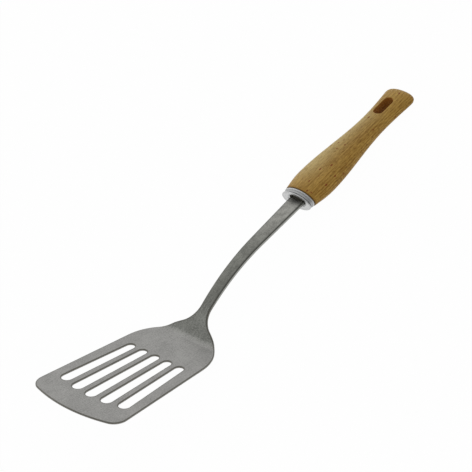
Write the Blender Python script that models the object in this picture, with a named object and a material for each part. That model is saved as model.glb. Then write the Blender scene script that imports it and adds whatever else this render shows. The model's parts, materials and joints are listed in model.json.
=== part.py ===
"""Slotted kitchen turner: a stamped steel blade and shank, an oval ferrule and a beech handle.

Metres, +Z up. The pieces are modelled in the blade's own frame, where +Y runs from the tip to
the handle and the blade's top face is z = 0. The last step lays the turner down as it rests on a
table: on the outside of its heel and on the underside of its butt, with the tip off the table.
The origin is then on the table, under the middle of the turner.
"""

import math

import bmesh
import bpy
import numpy as np
from mathutils import Matrix, Vector

MM = 0.001

# Blade, as cut from the flat sheet
BLADE_LENGTH = 106.3 * MM
BLADE_TIP_WIDTH = 81.3 * MM
BLADE_HEEL_WIDTH = 67.5 * MM
BLADE_THICKNESS = 1.3 * MM
TIP_ARC_RADIUS = 123.0 * MM
TIP_CORNER_RADIUS = 9.7 * MM

# Neck: the sheet narrows from the blade's shoulders to the root of the shank
SHOULDER_SETBACK = 6.8 * MM
SHOULDER_RADIUS = 31.5 * MM
NECK_WIDTH = 34.1 * MM
NECK_RISE = 8.65 * MM
NECK_RADIUS = 32.5 * MM
ROOT_WIDTH = 8.55 * MM
ROOT_RISE = 16.85 * MM
ROOT_RADIUS = 16.8 * MM

# Side view of the sheet: heel bend up, a short straight neck, then the arch of the shank
HEEL_ANGLE = math.radians(47.1)
HEEL_BEND_RADIUS = 8.0 * MM
NECK_STRAIGHT = 0.6 * MM
ARCH_RADIUS = 155.6 * MM
HANDLE_SLOPE = math.radians(19.1)
SHANK_STRAIGHT = 42.2 * MM
SHANK_END_WIDTH = 12.6 * MM
SHANK_THICKNESS = 2.4 * MM
THICKENING_LENGTH = 38.0 * MM
EDGE_BREAK = 0.25 * MM

# Drain slots, fanned and tapered
SLOT_COUNT = 5
SLOT_TIP_MARGIN = 17.7 * MM
SLOT_TIP_ARC_RADIUS = 105.0 * MM
SLOT_HEEL_MARGIN = 25.9 * MM
SLOT_TIP_PITCH = 13.55 * MM
SLOT_HEEL_PITCH = 11.2 * MM
SLOT_TIP_WIDTH = 8.5 * MM
SLOT_HEEL_WIDTH = 6.7 * MM

# Tang, hidden in the handle
TANG_LENGTH = 62.0 * MM
TANG_END_WIDTH = 8.0 * MM
TANG_CLEARANCE = 0.3 * MM

# Ferrule, an oval cap that swells a little from its dished front flange to its rear bead
FLANGE_WIDTH = 25.6 * MM
FLANGE_HEIGHT = 14.0 * MM
FLANGE_THICKNESS = 0.9 * MM
FLANGE_ROUND = 0.35 * MM
REAR_WIDTH = 25.9 * MM
REAR_HEIGHT = 15.0 * MM
FERRULE_LENGTH = 4.7 * MM
FERRULE_PLATE = 1.7 * MM
FERRULE_WALL = 1.5 * MM
GROOVE_WIDTH = 0.45 * MM
GROOVE_DEPTH = 0.6 * MM
BEAD_LENGTH = 1.3 * MM
BEAD_STEP = 0.3 * MM
MOUTH_RIM = 1.1 * MM
MOUTH_DEPTH = 0.7 * MM
OPENING_WIDTH = 17.2 * MM
OPENING_HEIGHT = 8.8 * MM
SEAT_CLEARANCE = 0.3 * MM

# Handle: its ends are level with the ferrule's middle and its belly hangs a little lower
HANDLE_LENGTH = 114.3 * MM
HANDLE_RISE = 0.35 * MM
HANDLE_SAG = 0.45 * MM
FRONT_WIDTH = 26.4 * MM
FRONT_SWELL = 0.37
FRONT_HEIGHT = 15.3 * MM
FRONT_THICKENING = 0.2
BELLY_AT = 15.8 * MM
BELLY_WIDTH = 31.1 * MM
THICKEST_AT = 26.0 * MM
BELLY_HEIGHT = 17.2 * MM
WAIST_TO_BUTT = 35.9 * MM
WAIST_WIDTH = 19.15 * MM
WAIST_HEIGHT = 13.2 * MM
BUTT_WIDTH = 25.6 * MM
BUTT_FLARE = 0.245
BUTT_HEIGHT = 10.8 * MM
BUTT_ROUND_LENGTH = 7.5 * MM
BUTT_POWER = 2.6
BUTT_EDGE_ROUND = 9.0 * MM
BUTT_EDGE_POWER = 2.0
FRONT_EDGE_ROUND = 0.6 * MM
TENON_LENGTH = 2.0 * MM
TENON_CHAMFER = 0.3 * MM

# Hanging slot, from top to underside of the handle
HANG_SLOT_LENGTH = 17.2 * MM
HANG_SLOT_WIDTH = 7.4 * MM
HANG_SLOT_TO_BUTT = 13.2 * MM
HANG_SLOT_CHAMFER = 0.5 * MM

# Facets of the round forms
SECTION_SIDES = 48
BODY_SECTIONS = 27
BUTT_SECTIONS = 10
BUTT_SECTION_EASE = 1.5
TIP_ARC_STEPS = 8
ARC_STEP = math.radians(9.0)
ARC_SHARE = 0.98
HEEL_STATION = 0.9 * MM
NECK_STATION = 1.15 * MM
ARCH_STATION = 4.5 * MM
SHANK_STATION = 11.0 * MM
SAME_PLACE = 0.01 * MM
CUTTER_REACH = 20.0 * MM
EDGE_BREAK_FROM = math.radians(50.0)
EDGE_BREAK_STEPS = 2
CREASE_FROM = math.radians(35.0)
TILT_ROUNDS = 12
TINY = 1e-9

# Finishes: colour, roughness and metallic
BRUSHED_STEEL = ((0.47, 0.47, 0.45), 0.38, 1.0)
BRIGHT_METAL = ((0.78, 0.79, 0.79), 0.25, 1.0)
BEECH = ((0.46, 0.29, 0.12), 0.45, 0.0)


def smooth_step(share):
    """0 to 1 with level ends."""
    share = min(max(share, 0.0), 1.0)
    return share * share * (3.0 - 2.0 * share)


def arc_points(centre, radius, start, end):
    """Points on an arc from angle start to angle end, both included."""
    steps = max(2, math.ceil(abs(end - start) / ARC_STEP))
    angles = [start + (end - start) * i / steps for i in range(steps + 1)]
    return [centre + radius * Vector((math.cos(a), math.sin(a))) for a in angles]


def rounded_path(corners):
    """A polyline whose inner corners (point, radius) are replaced by tangent arcs.

    Where two neighbouring arcs would meet, both shrink to the straight between them.
    """
    points = [Vector(point) for point, _ in corners]
    last = len(points) - 1
    reach = [0.0] * (last + 1)
    for i in range(1, last):
        turn = (points[i] - points[i - 1]).angle(points[i + 1] - points[i])
        reach[i] = corners[i][1] * math.tan(turn / 2.0)
    fit = [1.0] * (last + 1)
    for i in range(last):
        share = ARC_SHARE * (points[i + 1] - points[i]).length / max(reach[i] + reach[i + 1], TINY)
        fit[i] = min(fit[i], share)
        fit[i + 1] = min(fit[i + 1], share)
    path = [points[0]]
    for i in range(1, last):
        if not corners[i][1]:
            path.append(points[i])
            continue
        back = (points[i - 1] - points[i]).normalized()
        ahead = (points[i + 1] - points[i]).normalized()
        half_angle = back.angle(ahead) / 2.0
        length = reach[i] * min(fit[i], 1.0)
        radius = length * math.tan(half_angle)
        centre = points[i] + (back + ahead).normalized() * radius / math.sin(half_angle)
        start = points[i] + back * length - centre
        end = points[i] + ahead * length - centre
        a0 = math.atan2(start.y, start.x)
        a1 = a0 + start.angle_signed(end) * -1.0
        path += arc_points(centre, radius, a0, a1)
    path.append(points[-1])
    return path


class SheetPath:
    """Side view of the formed sheet: flat blade, heel bend, neck, arch, straight shank and tang."""

    def __init__(self):
        arch_turn = HANDLE_SLOPE - HEEL_ANGLE
        self.pieces = [
            (BLADE_LENGTH, 0.0),
            (HEEL_BEND_RADIUS * HEEL_ANGLE, HEEL_ANGLE),
            (NECK_STRAIGHT, 0.0),
            (ARCH_RADIUS * abs(arch_turn), arch_turn),
            (SHANK_STRAIGHT + FERRULE_LENGTH + TANG_LENGTH, 0.0),
        ]
        self.length = sum(length for length, _ in self.pieces)
        self.ferrule_at = self.length - TANG_LENGTH - FERRULE_LENGTH

    def at(self, run):
        """Point (y, z) of the top face and the slope of the sheet, at a run along it."""
        point, slope = Vector((0.0, 0.0)), 0.0
        for length, turn in self.pieces:
            part = min(run, length)
            if abs(turn) < TINY:
                point += part * Vector((math.cos(slope), math.sin(slope)))
            else:
                radius = length / turn
                after = slope + part / radius
                point += radius * Vector(
                    (math.sin(after) - math.sin(slope), math.cos(slope) - math.cos(after))
                )
                slope = after
            run -= part
            if run <= 0.0:
                break
        return point, slope

    def thickness(self, run):
        """The blade is rolled thinner than the shank."""
        return BLADE_THICKNESS + (SHANK_THICKNESS - BLADE_THICKNESS) * smooth_step(
            (run - BLADE_LENGTH) / THICKENING_LENGTH
        )

    def formed(self, x, run, depth):
        """The place of a point of the flat blank, depth 0 on its top face and 1 on its underside."""
        point, slope = self.at(run)
        drop = depth * self.thickness(run)
        return Vector((x, point.x + drop * math.sin(slope), point.y - drop * math.cos(slope)))

    def stations(self):
        """Runs from the heel bend to the tang's end, close together where the sheet curves."""
        spacing = [HEEL_STATION, NECK_STATION, ARCH_STATION, SHANK_STATION]
        runs, start = [BLADE_LENGTH], BLADE_LENGTH
        for (length, _), step in zip(self.pieces[1:], spacing):
            count = max(1, round(length / step))
            runs += [start + length * (i + 1) / count for i in range(count)]
            start += length
        return runs


def handle_frame(path):
    """Matrix whose origin is the middle of the wood's front section, +Y along the handle, +Z up from it.

    The tang runs through the handle HANDLE_RISE below this origin.
    """
    point, slope = path.at(path.ferrule_at + FERRULE_LENGTH)
    rise = HANDLE_RISE - SHANK_THICKNESS / 2.0
    origin = Vector((0.0, point.x - rise * math.sin(slope), point.y + rise * math.cos(slope)))
    return Matrix.Translation(origin) @ Matrix.Rotation(slope, 4, "X")


def blade_half_outline(path):
    """Right half of the flat blank from the middle of the tip to the tang's end, as (x, run)."""
    heel = Vector((BLADE_HEEL_WIDTH / 2.0, BLADE_LENGTH - SHOULDER_SETBACK))
    tip_half = BLADE_TIP_WIDTH / 2.0
    tip_side = Vector(
        (tip_half, TIP_ARC_RADIUS - math.sqrt(TIP_ARC_RADIUS**2 - tip_half**2))
    )
    along = (heel - tip_side).normalized()
    inward = Vector((-along.y, along.x))
    arc_centre = Vector((0.0, TIP_ARC_RADIUS))
    # The corner's circle touches the side line and, from inside, the tip's arc.
    start = tip_side + inward * TIP_CORNER_RADIUS - arc_centre
    b = start.dot(along)
    c = start.length_squared - (TIP_ARC_RADIUS - TIP_CORNER_RADIUS) ** 2
    corner = arc_centre + start + along * (-b - math.sqrt(b * b - c))
    toward = corner - arc_centre
    touch = math.atan2(toward.y, toward.x)
    side = math.atan2(-inward.y, -inward.x)
    tip_arc = [
        arc_centre + TIP_ARC_RADIUS * Vector((math.cos(a), math.sin(a)))
        for a in np.linspace(-math.pi / 2.0, touch, TIP_ARC_STEPS + 1)
    ]
    corner_arc = arc_points(corner, TIP_CORNER_RADIUS, touch, side)
    neck = rounded_path(
        [
            (corner_arc[-1], 0.0),
            (heel, SHOULDER_RADIUS),
            (Vector((NECK_WIDTH / 2.0, BLADE_LENGTH + NECK_RISE)), NECK_RADIUS),
            (Vector((ROOT_WIDTH / 2.0, BLADE_LENGTH + ROOT_RISE)), ROOT_RADIUS),
            (Vector((SHANK_END_WIDTH / 2.0, path.ferrule_at)), 0.0),
            (Vector((TANG_END_WIDTH / 2.0, path.length)), 0.0),
        ]
    )
    return tip_arc[:-1] + corner_arc[:-1] + neck


def new_object(name, bm, material=None, smooth=True):
    """Object from a bmesh, with its faces turned outward."""
    bmesh.ops.recalc_face_normals(bm, faces=bm.faces)
    mesh = bpy.data.meshes.new(name)
    bm.to_mesh(mesh)
    bm.free()
    if smooth:
        mesh.shade_smooth()
        mesh.set_sharp_from_angle(angle=CREASE_FROM)
    obj = bpy.data.objects.new(name, mesh)
    bpy.context.scene.collection.objects.link(obj)
    if material:
        mesh.materials.append(material)
    return obj


def skin(bm, rings):
    """Closed skin over rings of equally many points, with a flat cap at each end."""
    loops = [[bm.verts.new(p) for p in ring] for ring in rings]
    for low, high in zip(loops, loops[1:]):
        for i in range(len(low)):
            j = (i + 1) % len(low)
            bm.faces.new((low[i], low[j], high[j], high[i]))
    bm.faces.new(loops[0][::-1])
    bm.faces.new(loops[-1])


def cutter(name, bm, target):
    """Hidden cutting solid, taken from the target by a Boolean."""
    tool = new_object(name, bm, smooth=False)
    tool.hide_render = True
    tool.display_type = "WIRE"
    cut = target.modifiers.new(name, "BOOLEAN")
    cut.operation = "DIFFERENCE"
    cut.solver = "EXACT"
    cut.object = tool
    return tool


def oval_ring(half_width, half_height, y, z=0.0):
    """Ring of points of an oval in the plane at y, its middle at height z."""
    angles = [2.0 * math.pi * (i + 0.5) / SECTION_SIDES for i in range(SECTION_SIDES)]
    return [
        Vector((half_width * math.cos(a), y, z + half_height * math.sin(a))) for a in angles
    ]


def plain_material(name, finish):
    """Principled material of one colour, roughness and metallic value."""
    colour, roughness, metallic = finish
    material = bpy.data.materials.new(name)
    material.use_nodes = True
    shader = material.node_tree.nodes["Principled BSDF"]
    shader.inputs["Base Color"].default_value = (*colour, 1.0)
    shader.inputs["Roughness"].default_value = roughness
    shader.inputs["Metallic"].default_value = metallic
    return material


def make_blade(path):
    """Blade, neck, shank and tang, formed from one flat blank and pierced with the drain slots."""
    outline = blade_half_outline(path)
    flat = [p for p in outline if p.y < BLADE_LENGTH - SAME_PLACE]
    neck_runs = [p.y for p in outline if p.y >= flat[-1].y]
    neck_halves = [p.x for p in outline if p.y >= flat[-1].y]
    runs = path.stations()
    halves = np.interp(runs, neck_runs, neck_halves)

    bm = bmesh.new()
    layers = []
    for depth in (0, 1):
        rim = [bm.verts.new(path.formed(p.x, p.y, depth)) for p in flat]
        rim += [bm.verts.new(path.formed(-p.x, p.y, depth)) for p in flat[:0:-1]]
        right = [bm.verts.new(path.formed(w, run, depth)) for w, run in zip(halves, runs)]
        left = [bm.verts.new(path.formed(-w, run, depth)) for w, run in zip(halves, runs)]
        # Around the edge: tip middle, right side, tang end, left side and back to the tip.
        count = len(flat)
        edge = rim[:count] + right + left[::-1] + rim[count:]
        bm.faces.new(rim[:count] + [right[0], left[0]] + rim[count:])
        for i in range(len(runs) - 1):
            bm.faces.new((right[i], right[i + 1], left[i + 1], left[i]))
        layers.append(edge)
    top, under = layers
    for i in range(len(top)):
        j = (i + 1) % len(top)
        bm.faces.new((top[i], top[j], under[j], under[i]))
    blade = new_object("turner_blade", bm, plain_material("brushed_steel", BRUSHED_STEEL))

    slots = bmesh.new()
    middle = (SLOT_COUNT - 1) / 2.0
    for i in range(SLOT_COUNT):
        place_slot_cutter(slots, i - middle)
    tool = cutter("drain_slot_cutter", slots, blade)
    bevel = blade.modifiers.new("edge_break", "BEVEL")
    bevel.width = EDGE_BREAK
    bevel.segments = EDGE_BREAK_STEPS
    bevel.limit_method = "ANGLE"
    bevel.angle_limit = EDGE_BREAK_FROM
    return [blade, tool]


def place_slot_cutter(bm, place):
    """Prism of one drain slot: two round ends of unlike width joined by straight sides."""
    tip_x = place * SLOT_TIP_PITCH
    arc_drop = SLOT_TIP_ARC_RADIUS - math.sqrt(SLOT_TIP_ARC_RADIUS**2 - tip_x**2)
    tip_radius, heel_radius = SLOT_TIP_WIDTH / 2.0, SLOT_HEEL_WIDTH / 2.0
    tip = Vector((tip_x, SLOT_TIP_MARGIN + arc_drop))
    heel = Vector((place * SLOT_HEEL_PITCH, BLADE_LENGTH - SLOT_HEEL_MARGIN))
    along = (heel - tip).normalized()
    tip += along * tip_radius
    heel -= along * heel_radius
    heading = math.atan2(along.y, along.x)
    lean = math.asin((tip_radius - heel_radius) / (heel - tip).length)
    quarter = math.pi / 2.0
    rim = arc_points(
        tip, tip_radius, heading + quarter - lean, heading + 3.0 * quarter + lean
    )
    rim += arc_points(
        heel, heel_radius, heading - quarter + lean, heading + quarter - lean
    )
    skin(bm, [[Vector((p.x, p.y, z)) for p in rim] for z in (-CUTTER_REACH, CUTTER_REACH)])


def ferrule_halves(y, inset):
    """Half width and half height of the ferrule at y, a step below its outer line."""
    share = (y + FERRULE_LENGTH) / FERRULE_LENGTH
    width = FLANGE_WIDTH + (REAR_WIDTH - FLANGE_WIDTH) * share
    height = FLANGE_HEIGHT + (REAR_HEIGHT - FLANGE_HEIGHT) * share
    return width / 2.0 - inset, height / 2.0 - inset


def hollow_halves():
    """Half width and half height of the ferrule's hollow back."""
    return FLANGE_WIDTH / 2.0 - FERRULE_WALL, FLANGE_HEIGHT / 2.0 - FERRULE_WALL


def make_ferrule():
    """Oval cap: dished front flange, groove, band and rear bead, an oval opening, a hollow back."""
    front = -FERRULE_LENGTH
    rear = -SEAT_CLEARANCE
    flange_end = front + FLANGE_THICKNESS
    groove_end = flange_end + GROOVE_WIDTH
    bead_start = rear - BEAD_LENGTH
    corner = FLANGE_ROUND * (1.0 - math.sqrt(0.5))
    profile = [
        (front, FLANGE_ROUND),
        (front + corner, corner),
        (front + FLANGE_ROUND, 0.0),
        (flange_end, 0.0),
        (flange_end, GROOVE_DEPTH),
        (groove_end, GROOVE_DEPTH),
        (groove_end, BEAD_STEP),
        (bead_start, BEAD_STEP),
        (bead_start + BEAD_STEP, 0.0),
        (rear - BEAD_STEP, 0.0),
        (rear, BEAD_STEP),
    ]
    bm = bmesh.new()
    skin(bm, [oval_ring(*ferrule_halves(y, inset), y) for y, inset in profile])
    ferrule = new_object("ferrule", bm, plain_material("bright_metal", BRIGHT_METAL))

    hollow = bmesh.new()
    skin(hollow, [oval_ring(*hollow_halves(), y) for y in (front + FERRULE_PLATE, CUTTER_REACH)])
    hollow_tool = cutter("ferrule_hollow_cutter", hollow, ferrule)

    # The mouth narrows in a cone from its rim at the front face to the opening behind it.
    opening_halves = (OPENING_WIDTH / 2.0, OPENING_HEIGHT / 2.0)
    rim_halves = ferrule_halves(front, MOUTH_RIM)
    beyond_halves = [2.0 * rim - hole for rim, hole in zip(rim_halves, opening_halves)]
    opening = bmesh.new()
    opening_rings = [
        oval_ring(*beyond_halves, front - MOUTH_DEPTH),
        oval_ring(*opening_halves, front + MOUTH_DEPTH),
        oval_ring(*opening_halves, CUTTER_REACH),
    ]
    skin(opening, opening_rings)
    opening_tool = cutter("ferrule_opening_cutter", opening, ferrule)
    return [ferrule, hollow_tool, opening_tool]


def hermite(stations, at):
    """Smooth curve through (place, value, slope) stations."""
    i = 0
    while i < len(stations) - 2 and at > stations[i + 1][0]:
        i += 1
    (p0, v0, s0), (p1, v1, s1) = stations[i], stations[i + 1]
    span = p1 - p0
    t = min(max((at - p0) / span, 0.0), 1.0)
    return (
        v0 * (1.0 + 2.0 * t) * (1.0 - t) ** 2
        + s0 * span * t * (1.0 - t) ** 2
        + v1 * t * t * (3.0 - 2.0 * t)
        - s1 * span * t * t * (1.0 - t)
    )


def closing(y, length, power):
    """1 along the handle, falling to 0 over the last stretch before the butt on a rounded curve."""
    share = min(max((y - (HANDLE_LENGTH - length)) / length, 0.0), 1.0)
    return (1.0 - share**power) ** (1.0 / power)


def handle_section(y):
    """Half width, half height and middle height of the handle at a distance from the wood's front."""
    waist = HANDLE_LENGTH - WAIST_TO_BUTT
    widths = [
        (0.0, FRONT_WIDTH, FRONT_SWELL),
        (BELLY_AT, BELLY_WIDTH, 0.0),
        (waist, WAIST_WIDTH, 0.0),
        (HANDLE_LENGTH, BUTT_WIDTH, BUTT_FLARE),
    ]
    thinning = (BUTT_HEIGHT - WAIST_HEIGHT) / WAIST_TO_BUTT
    heights = [
        (0.0, FRONT_HEIGHT, FRONT_THICKENING),
        (THICKEST_AT, BELLY_HEIGHT, 0.0),
        (waist, WAIST_HEIGHT, thinning),
        (HANDLE_LENGTH, BUTT_HEIGHT, thinning),
    ]
    front_round = FRONT_EDGE_ROUND * max(1.0 - y / FRONT_EDGE_ROUND, 0.0) ** 2
    half_width = hermite(widths, y) / 2.0 - front_round
    half_height = hermite(heights, y) / 2.0 - front_round
    share = y / HANDLE_LENGTH
    return (
        half_width * closing(y, BUTT_ROUND_LENGTH, BUTT_POWER),
        half_height * closing(y, BUTT_EDGE_ROUND, BUTT_EDGE_POWER),
        -4.0 * HANDLE_SAG * share * (1.0 - share),
    )


def handle_places():
    """Distances of the handle's sections, close together where its ends are rounded."""
    places = [0.0, FRONT_EDGE_ROUND / 2.0]
    places += list(np.linspace(FRONT_EDGE_ROUND, HANDLE_LENGTH - BUTT_EDGE_ROUND, BODY_SECTIONS))
    for i in range(1, BUTT_SECTIONS):
        turn = math.pi / 2.0 * (1.0 - (1.0 - i / BUTT_SECTIONS) ** BUTT_SECTION_EASE)
        places.append(HANDLE_LENGTH - BUTT_EDGE_ROUND * math.cos(turn))
    return places


def make_handle(path):
    """Beech handle: tenon, belly, waist and flared butt, bored for the tang and slotted to hang up."""
    hollow_width, hollow_height = hollow_halves()
    tenon = hollow_width - SEAT_CLEARANCE, hollow_height - SEAT_CLEARANCE
    tenon_front = tenon[0] - TENON_CHAMFER, tenon[1] - TENON_CHAMFER
    rings = [
        oval_ring(*tenon_front, -TENON_LENGTH),
        oval_ring(*tenon, TENON_CHAMFER - TENON_LENGTH),
        oval_ring(*tenon, 0.0),
    ]
    for y in handle_places():
        half_width, half_height, middle = handle_section(y)
        rings.append(oval_ring(half_width, half_height, y, middle))
    bm = bmesh.new()
    skin(bm, rings)
    handle = new_object("handle", bm, plain_material("beech", BEECH))
    socket_tool = cutter("tang_socket_cutter", tang_socket(path), handle)
    hang_tool = cutter("hanging_slot_cutter", hanging_slot(), handle)
    return [handle, socket_tool, hang_tool]


def tang_socket(path):
    """Tapered socket with the tang's clearance on every side, open at the tenon."""
    bm = bmesh.new()
    half_height = SHANK_THICKNESS / 2.0 + TANG_CLEARANCE
    stations = [
        (-CUTTER_REACH, SHANK_END_WIDTH),
        (-FERRULE_LENGTH, SHANK_END_WIDTH),
        (TANG_LENGTH + TANG_CLEARANCE, TANG_END_WIDTH),
    ]
    corners = [(1, 1), (-1, 1), (-1, -1), (1, -1)]
    rings = []
    for y, width in stations:
        half_width = width / 2.0 + TANG_CLEARANCE
        rings.append(
            [Vector((sx * half_width, y, sz * half_height - HANDLE_RISE)) for sx, sz in corners]
        )
    skin(bm, rings)
    return bm


def hanging_slot():
    """Oblong slot from top to underside, chamfered where it leaves the wood."""
    bm = bmesh.new()
    place = HANDLE_LENGTH - HANG_SLOT_TO_BUTT - HANG_SLOT_LENGTH / 2.0
    _, half_height, middle = handle_section(place)
    half_run = (HANG_SLOT_LENGTH - HANG_SLOT_WIDTH) / 2.0
    low_edge = middle - half_height + HANG_SLOT_CHAMFER
    high_edge = middle + half_height - HANG_SLOT_CHAMFER
    rings = []
    for z in (-CUTTER_REACH, low_edge, high_edge, CUTTER_REACH):
        flare = max(0.0, low_edge - z, z - high_edge)
        radius = HANG_SLOT_WIDTH / 2.0 + flare
        ring = arc_points(Vector((0.0, place - half_run)), radius, math.pi, 2.0 * math.pi)
        ring += arc_points(Vector((0.0, place + half_run)), radius, 0.0, math.pi)
        rings.append([Vector((p.x, p.y, z)) for p in ring])
    skin(bm, rings)
    return bm


def resting_tilt(steel_points, wood_points):
    """Angle of the line under the heel and the butt, on which the turner lies."""
    tilt = 0.0
    for _ in range(TILT_ROUNDS):
        def height(p):
            return p.z * math.cos(tilt) - p.y * math.sin(tilt)

        heel = min(steel_points, key=height)
        butt = min(wood_points, key=height)
        tilt = math.atan2(butt.z - heel.z, butt.y - heel.y)
    return tilt


def built_points(obj, matrix):
    """The vertices of the piece with its cuts made, placed by a matrix."""
    built = obj.evaluated_get(bpy.context.evaluated_depsgraph_get())
    points = [matrix @ v.co for v in built.to_mesh().vertices]
    built.to_mesh_clear()
    return points


def lay_down(objects, frames):
    """Parents all pieces to an empty that lays the turner on its heel and butt, centred on the origin."""
    points = {
        obj.name: built_points(obj, frame)
        for obj, frame in zip(objects, frames)
        if not obj.hide_render
    }
    tilt = resting_tilt(points["turner_blade"], points["handle"])
    turn = Matrix.Rotation(-tilt, 4, "X")
    laid = [turn @ p for group in points.values() for p in group]
    y_middle = (min(p.y for p in laid) + max(p.y for p in laid)) / 2.0
    lowest = min(p.z for p in laid)
    rest = bpy.data.objects.new("rest_pose", None)
    bpy.context.scene.collection.objects.link(rest)
    rest.matrix_world = Matrix.Translation((0.0, -y_middle, -lowest)) @ turn
    for obj, frame in zip(objects, frames):
        obj.parent = rest
        obj.matrix_local = frame


def main():
    """Clears the scene and builds the turner."""
    for obj in list(bpy.data.objects):
        bpy.data.objects.remove(obj, do_unlink=True)
    path = SheetPath()
    blade = make_blade(path)
    mounted = make_ferrule() + make_handle(path)
    frames = [Matrix.Identity(4)] * len(blade) + [handle_frame(path)] * len(mounted)
    lay_down(blade + mounted, frames)


main()
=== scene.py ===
"""Looks of a slotted kitchen turner: steel blade and shank, oval ferrule and beech handle.

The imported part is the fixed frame. Every piece is rebuilt here finer than its solid, in the same
place and with the same sizes, and dressed in a procedural finish. Metres, +Z up.
"""

import json
import logging
import math
from dataclasses import dataclass
from enum import Enum
from typing import Any, Callable, Sequence

import bmesh
import bpy
import numpy as np
from mathutils import Euler, Matrix, Vector
from mathutils.bvhtree import BVHTree

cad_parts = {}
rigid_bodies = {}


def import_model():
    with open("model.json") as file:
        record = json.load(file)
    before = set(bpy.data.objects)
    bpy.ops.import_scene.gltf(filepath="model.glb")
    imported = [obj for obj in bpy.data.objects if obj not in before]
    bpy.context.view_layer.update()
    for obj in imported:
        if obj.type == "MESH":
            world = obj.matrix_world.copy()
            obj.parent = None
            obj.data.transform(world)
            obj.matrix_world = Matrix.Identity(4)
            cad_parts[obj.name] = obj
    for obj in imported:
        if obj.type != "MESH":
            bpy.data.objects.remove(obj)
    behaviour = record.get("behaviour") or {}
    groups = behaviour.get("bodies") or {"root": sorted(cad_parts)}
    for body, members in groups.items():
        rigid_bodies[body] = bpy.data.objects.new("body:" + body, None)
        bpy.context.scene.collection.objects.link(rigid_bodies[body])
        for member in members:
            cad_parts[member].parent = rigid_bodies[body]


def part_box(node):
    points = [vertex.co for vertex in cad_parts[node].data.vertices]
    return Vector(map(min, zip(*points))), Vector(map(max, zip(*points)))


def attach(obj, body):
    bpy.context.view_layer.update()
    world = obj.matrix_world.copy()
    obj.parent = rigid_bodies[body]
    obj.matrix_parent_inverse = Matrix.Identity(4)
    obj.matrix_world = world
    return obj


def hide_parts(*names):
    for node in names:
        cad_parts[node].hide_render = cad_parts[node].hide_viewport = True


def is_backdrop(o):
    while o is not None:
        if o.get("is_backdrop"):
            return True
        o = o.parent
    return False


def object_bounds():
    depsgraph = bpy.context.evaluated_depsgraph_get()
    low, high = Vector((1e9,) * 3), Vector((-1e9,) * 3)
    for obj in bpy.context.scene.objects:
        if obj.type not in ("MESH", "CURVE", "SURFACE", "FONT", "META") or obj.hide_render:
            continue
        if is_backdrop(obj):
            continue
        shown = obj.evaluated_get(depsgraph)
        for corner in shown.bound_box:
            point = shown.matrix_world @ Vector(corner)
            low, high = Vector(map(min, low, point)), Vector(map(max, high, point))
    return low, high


MM = 0.001
LOG = logging.getLogger("turner")

# Lengths and runs below this, in metres, count as nothing.
TINY = 1e-9
# Largest share of a straight that the arcs at its two ends may take up.
ARC_SHARE = 0.98
# Edges sharper than this, in degrees, stay sharp on the ferrule and the handle.
CREASE = 40.0

Colour = tuple[float, float, float]
Place = tuple[float, float, float]
Span = tuple[float, float]


class Cut(Enum):
    """What a tool solid does to the piece it meets."""

    AWAY = "DIFFERENCE"
    JOIN = "UNION"


class Mark(Enum):
    """Names of the attributes that a piece's mesh carries for its finish."""

    BLANK = "blank_place"
    RIM = "rim_share"
    WALL = "wall_share"
    SHADE_AND_DULLNESS = "recess_share"


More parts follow.
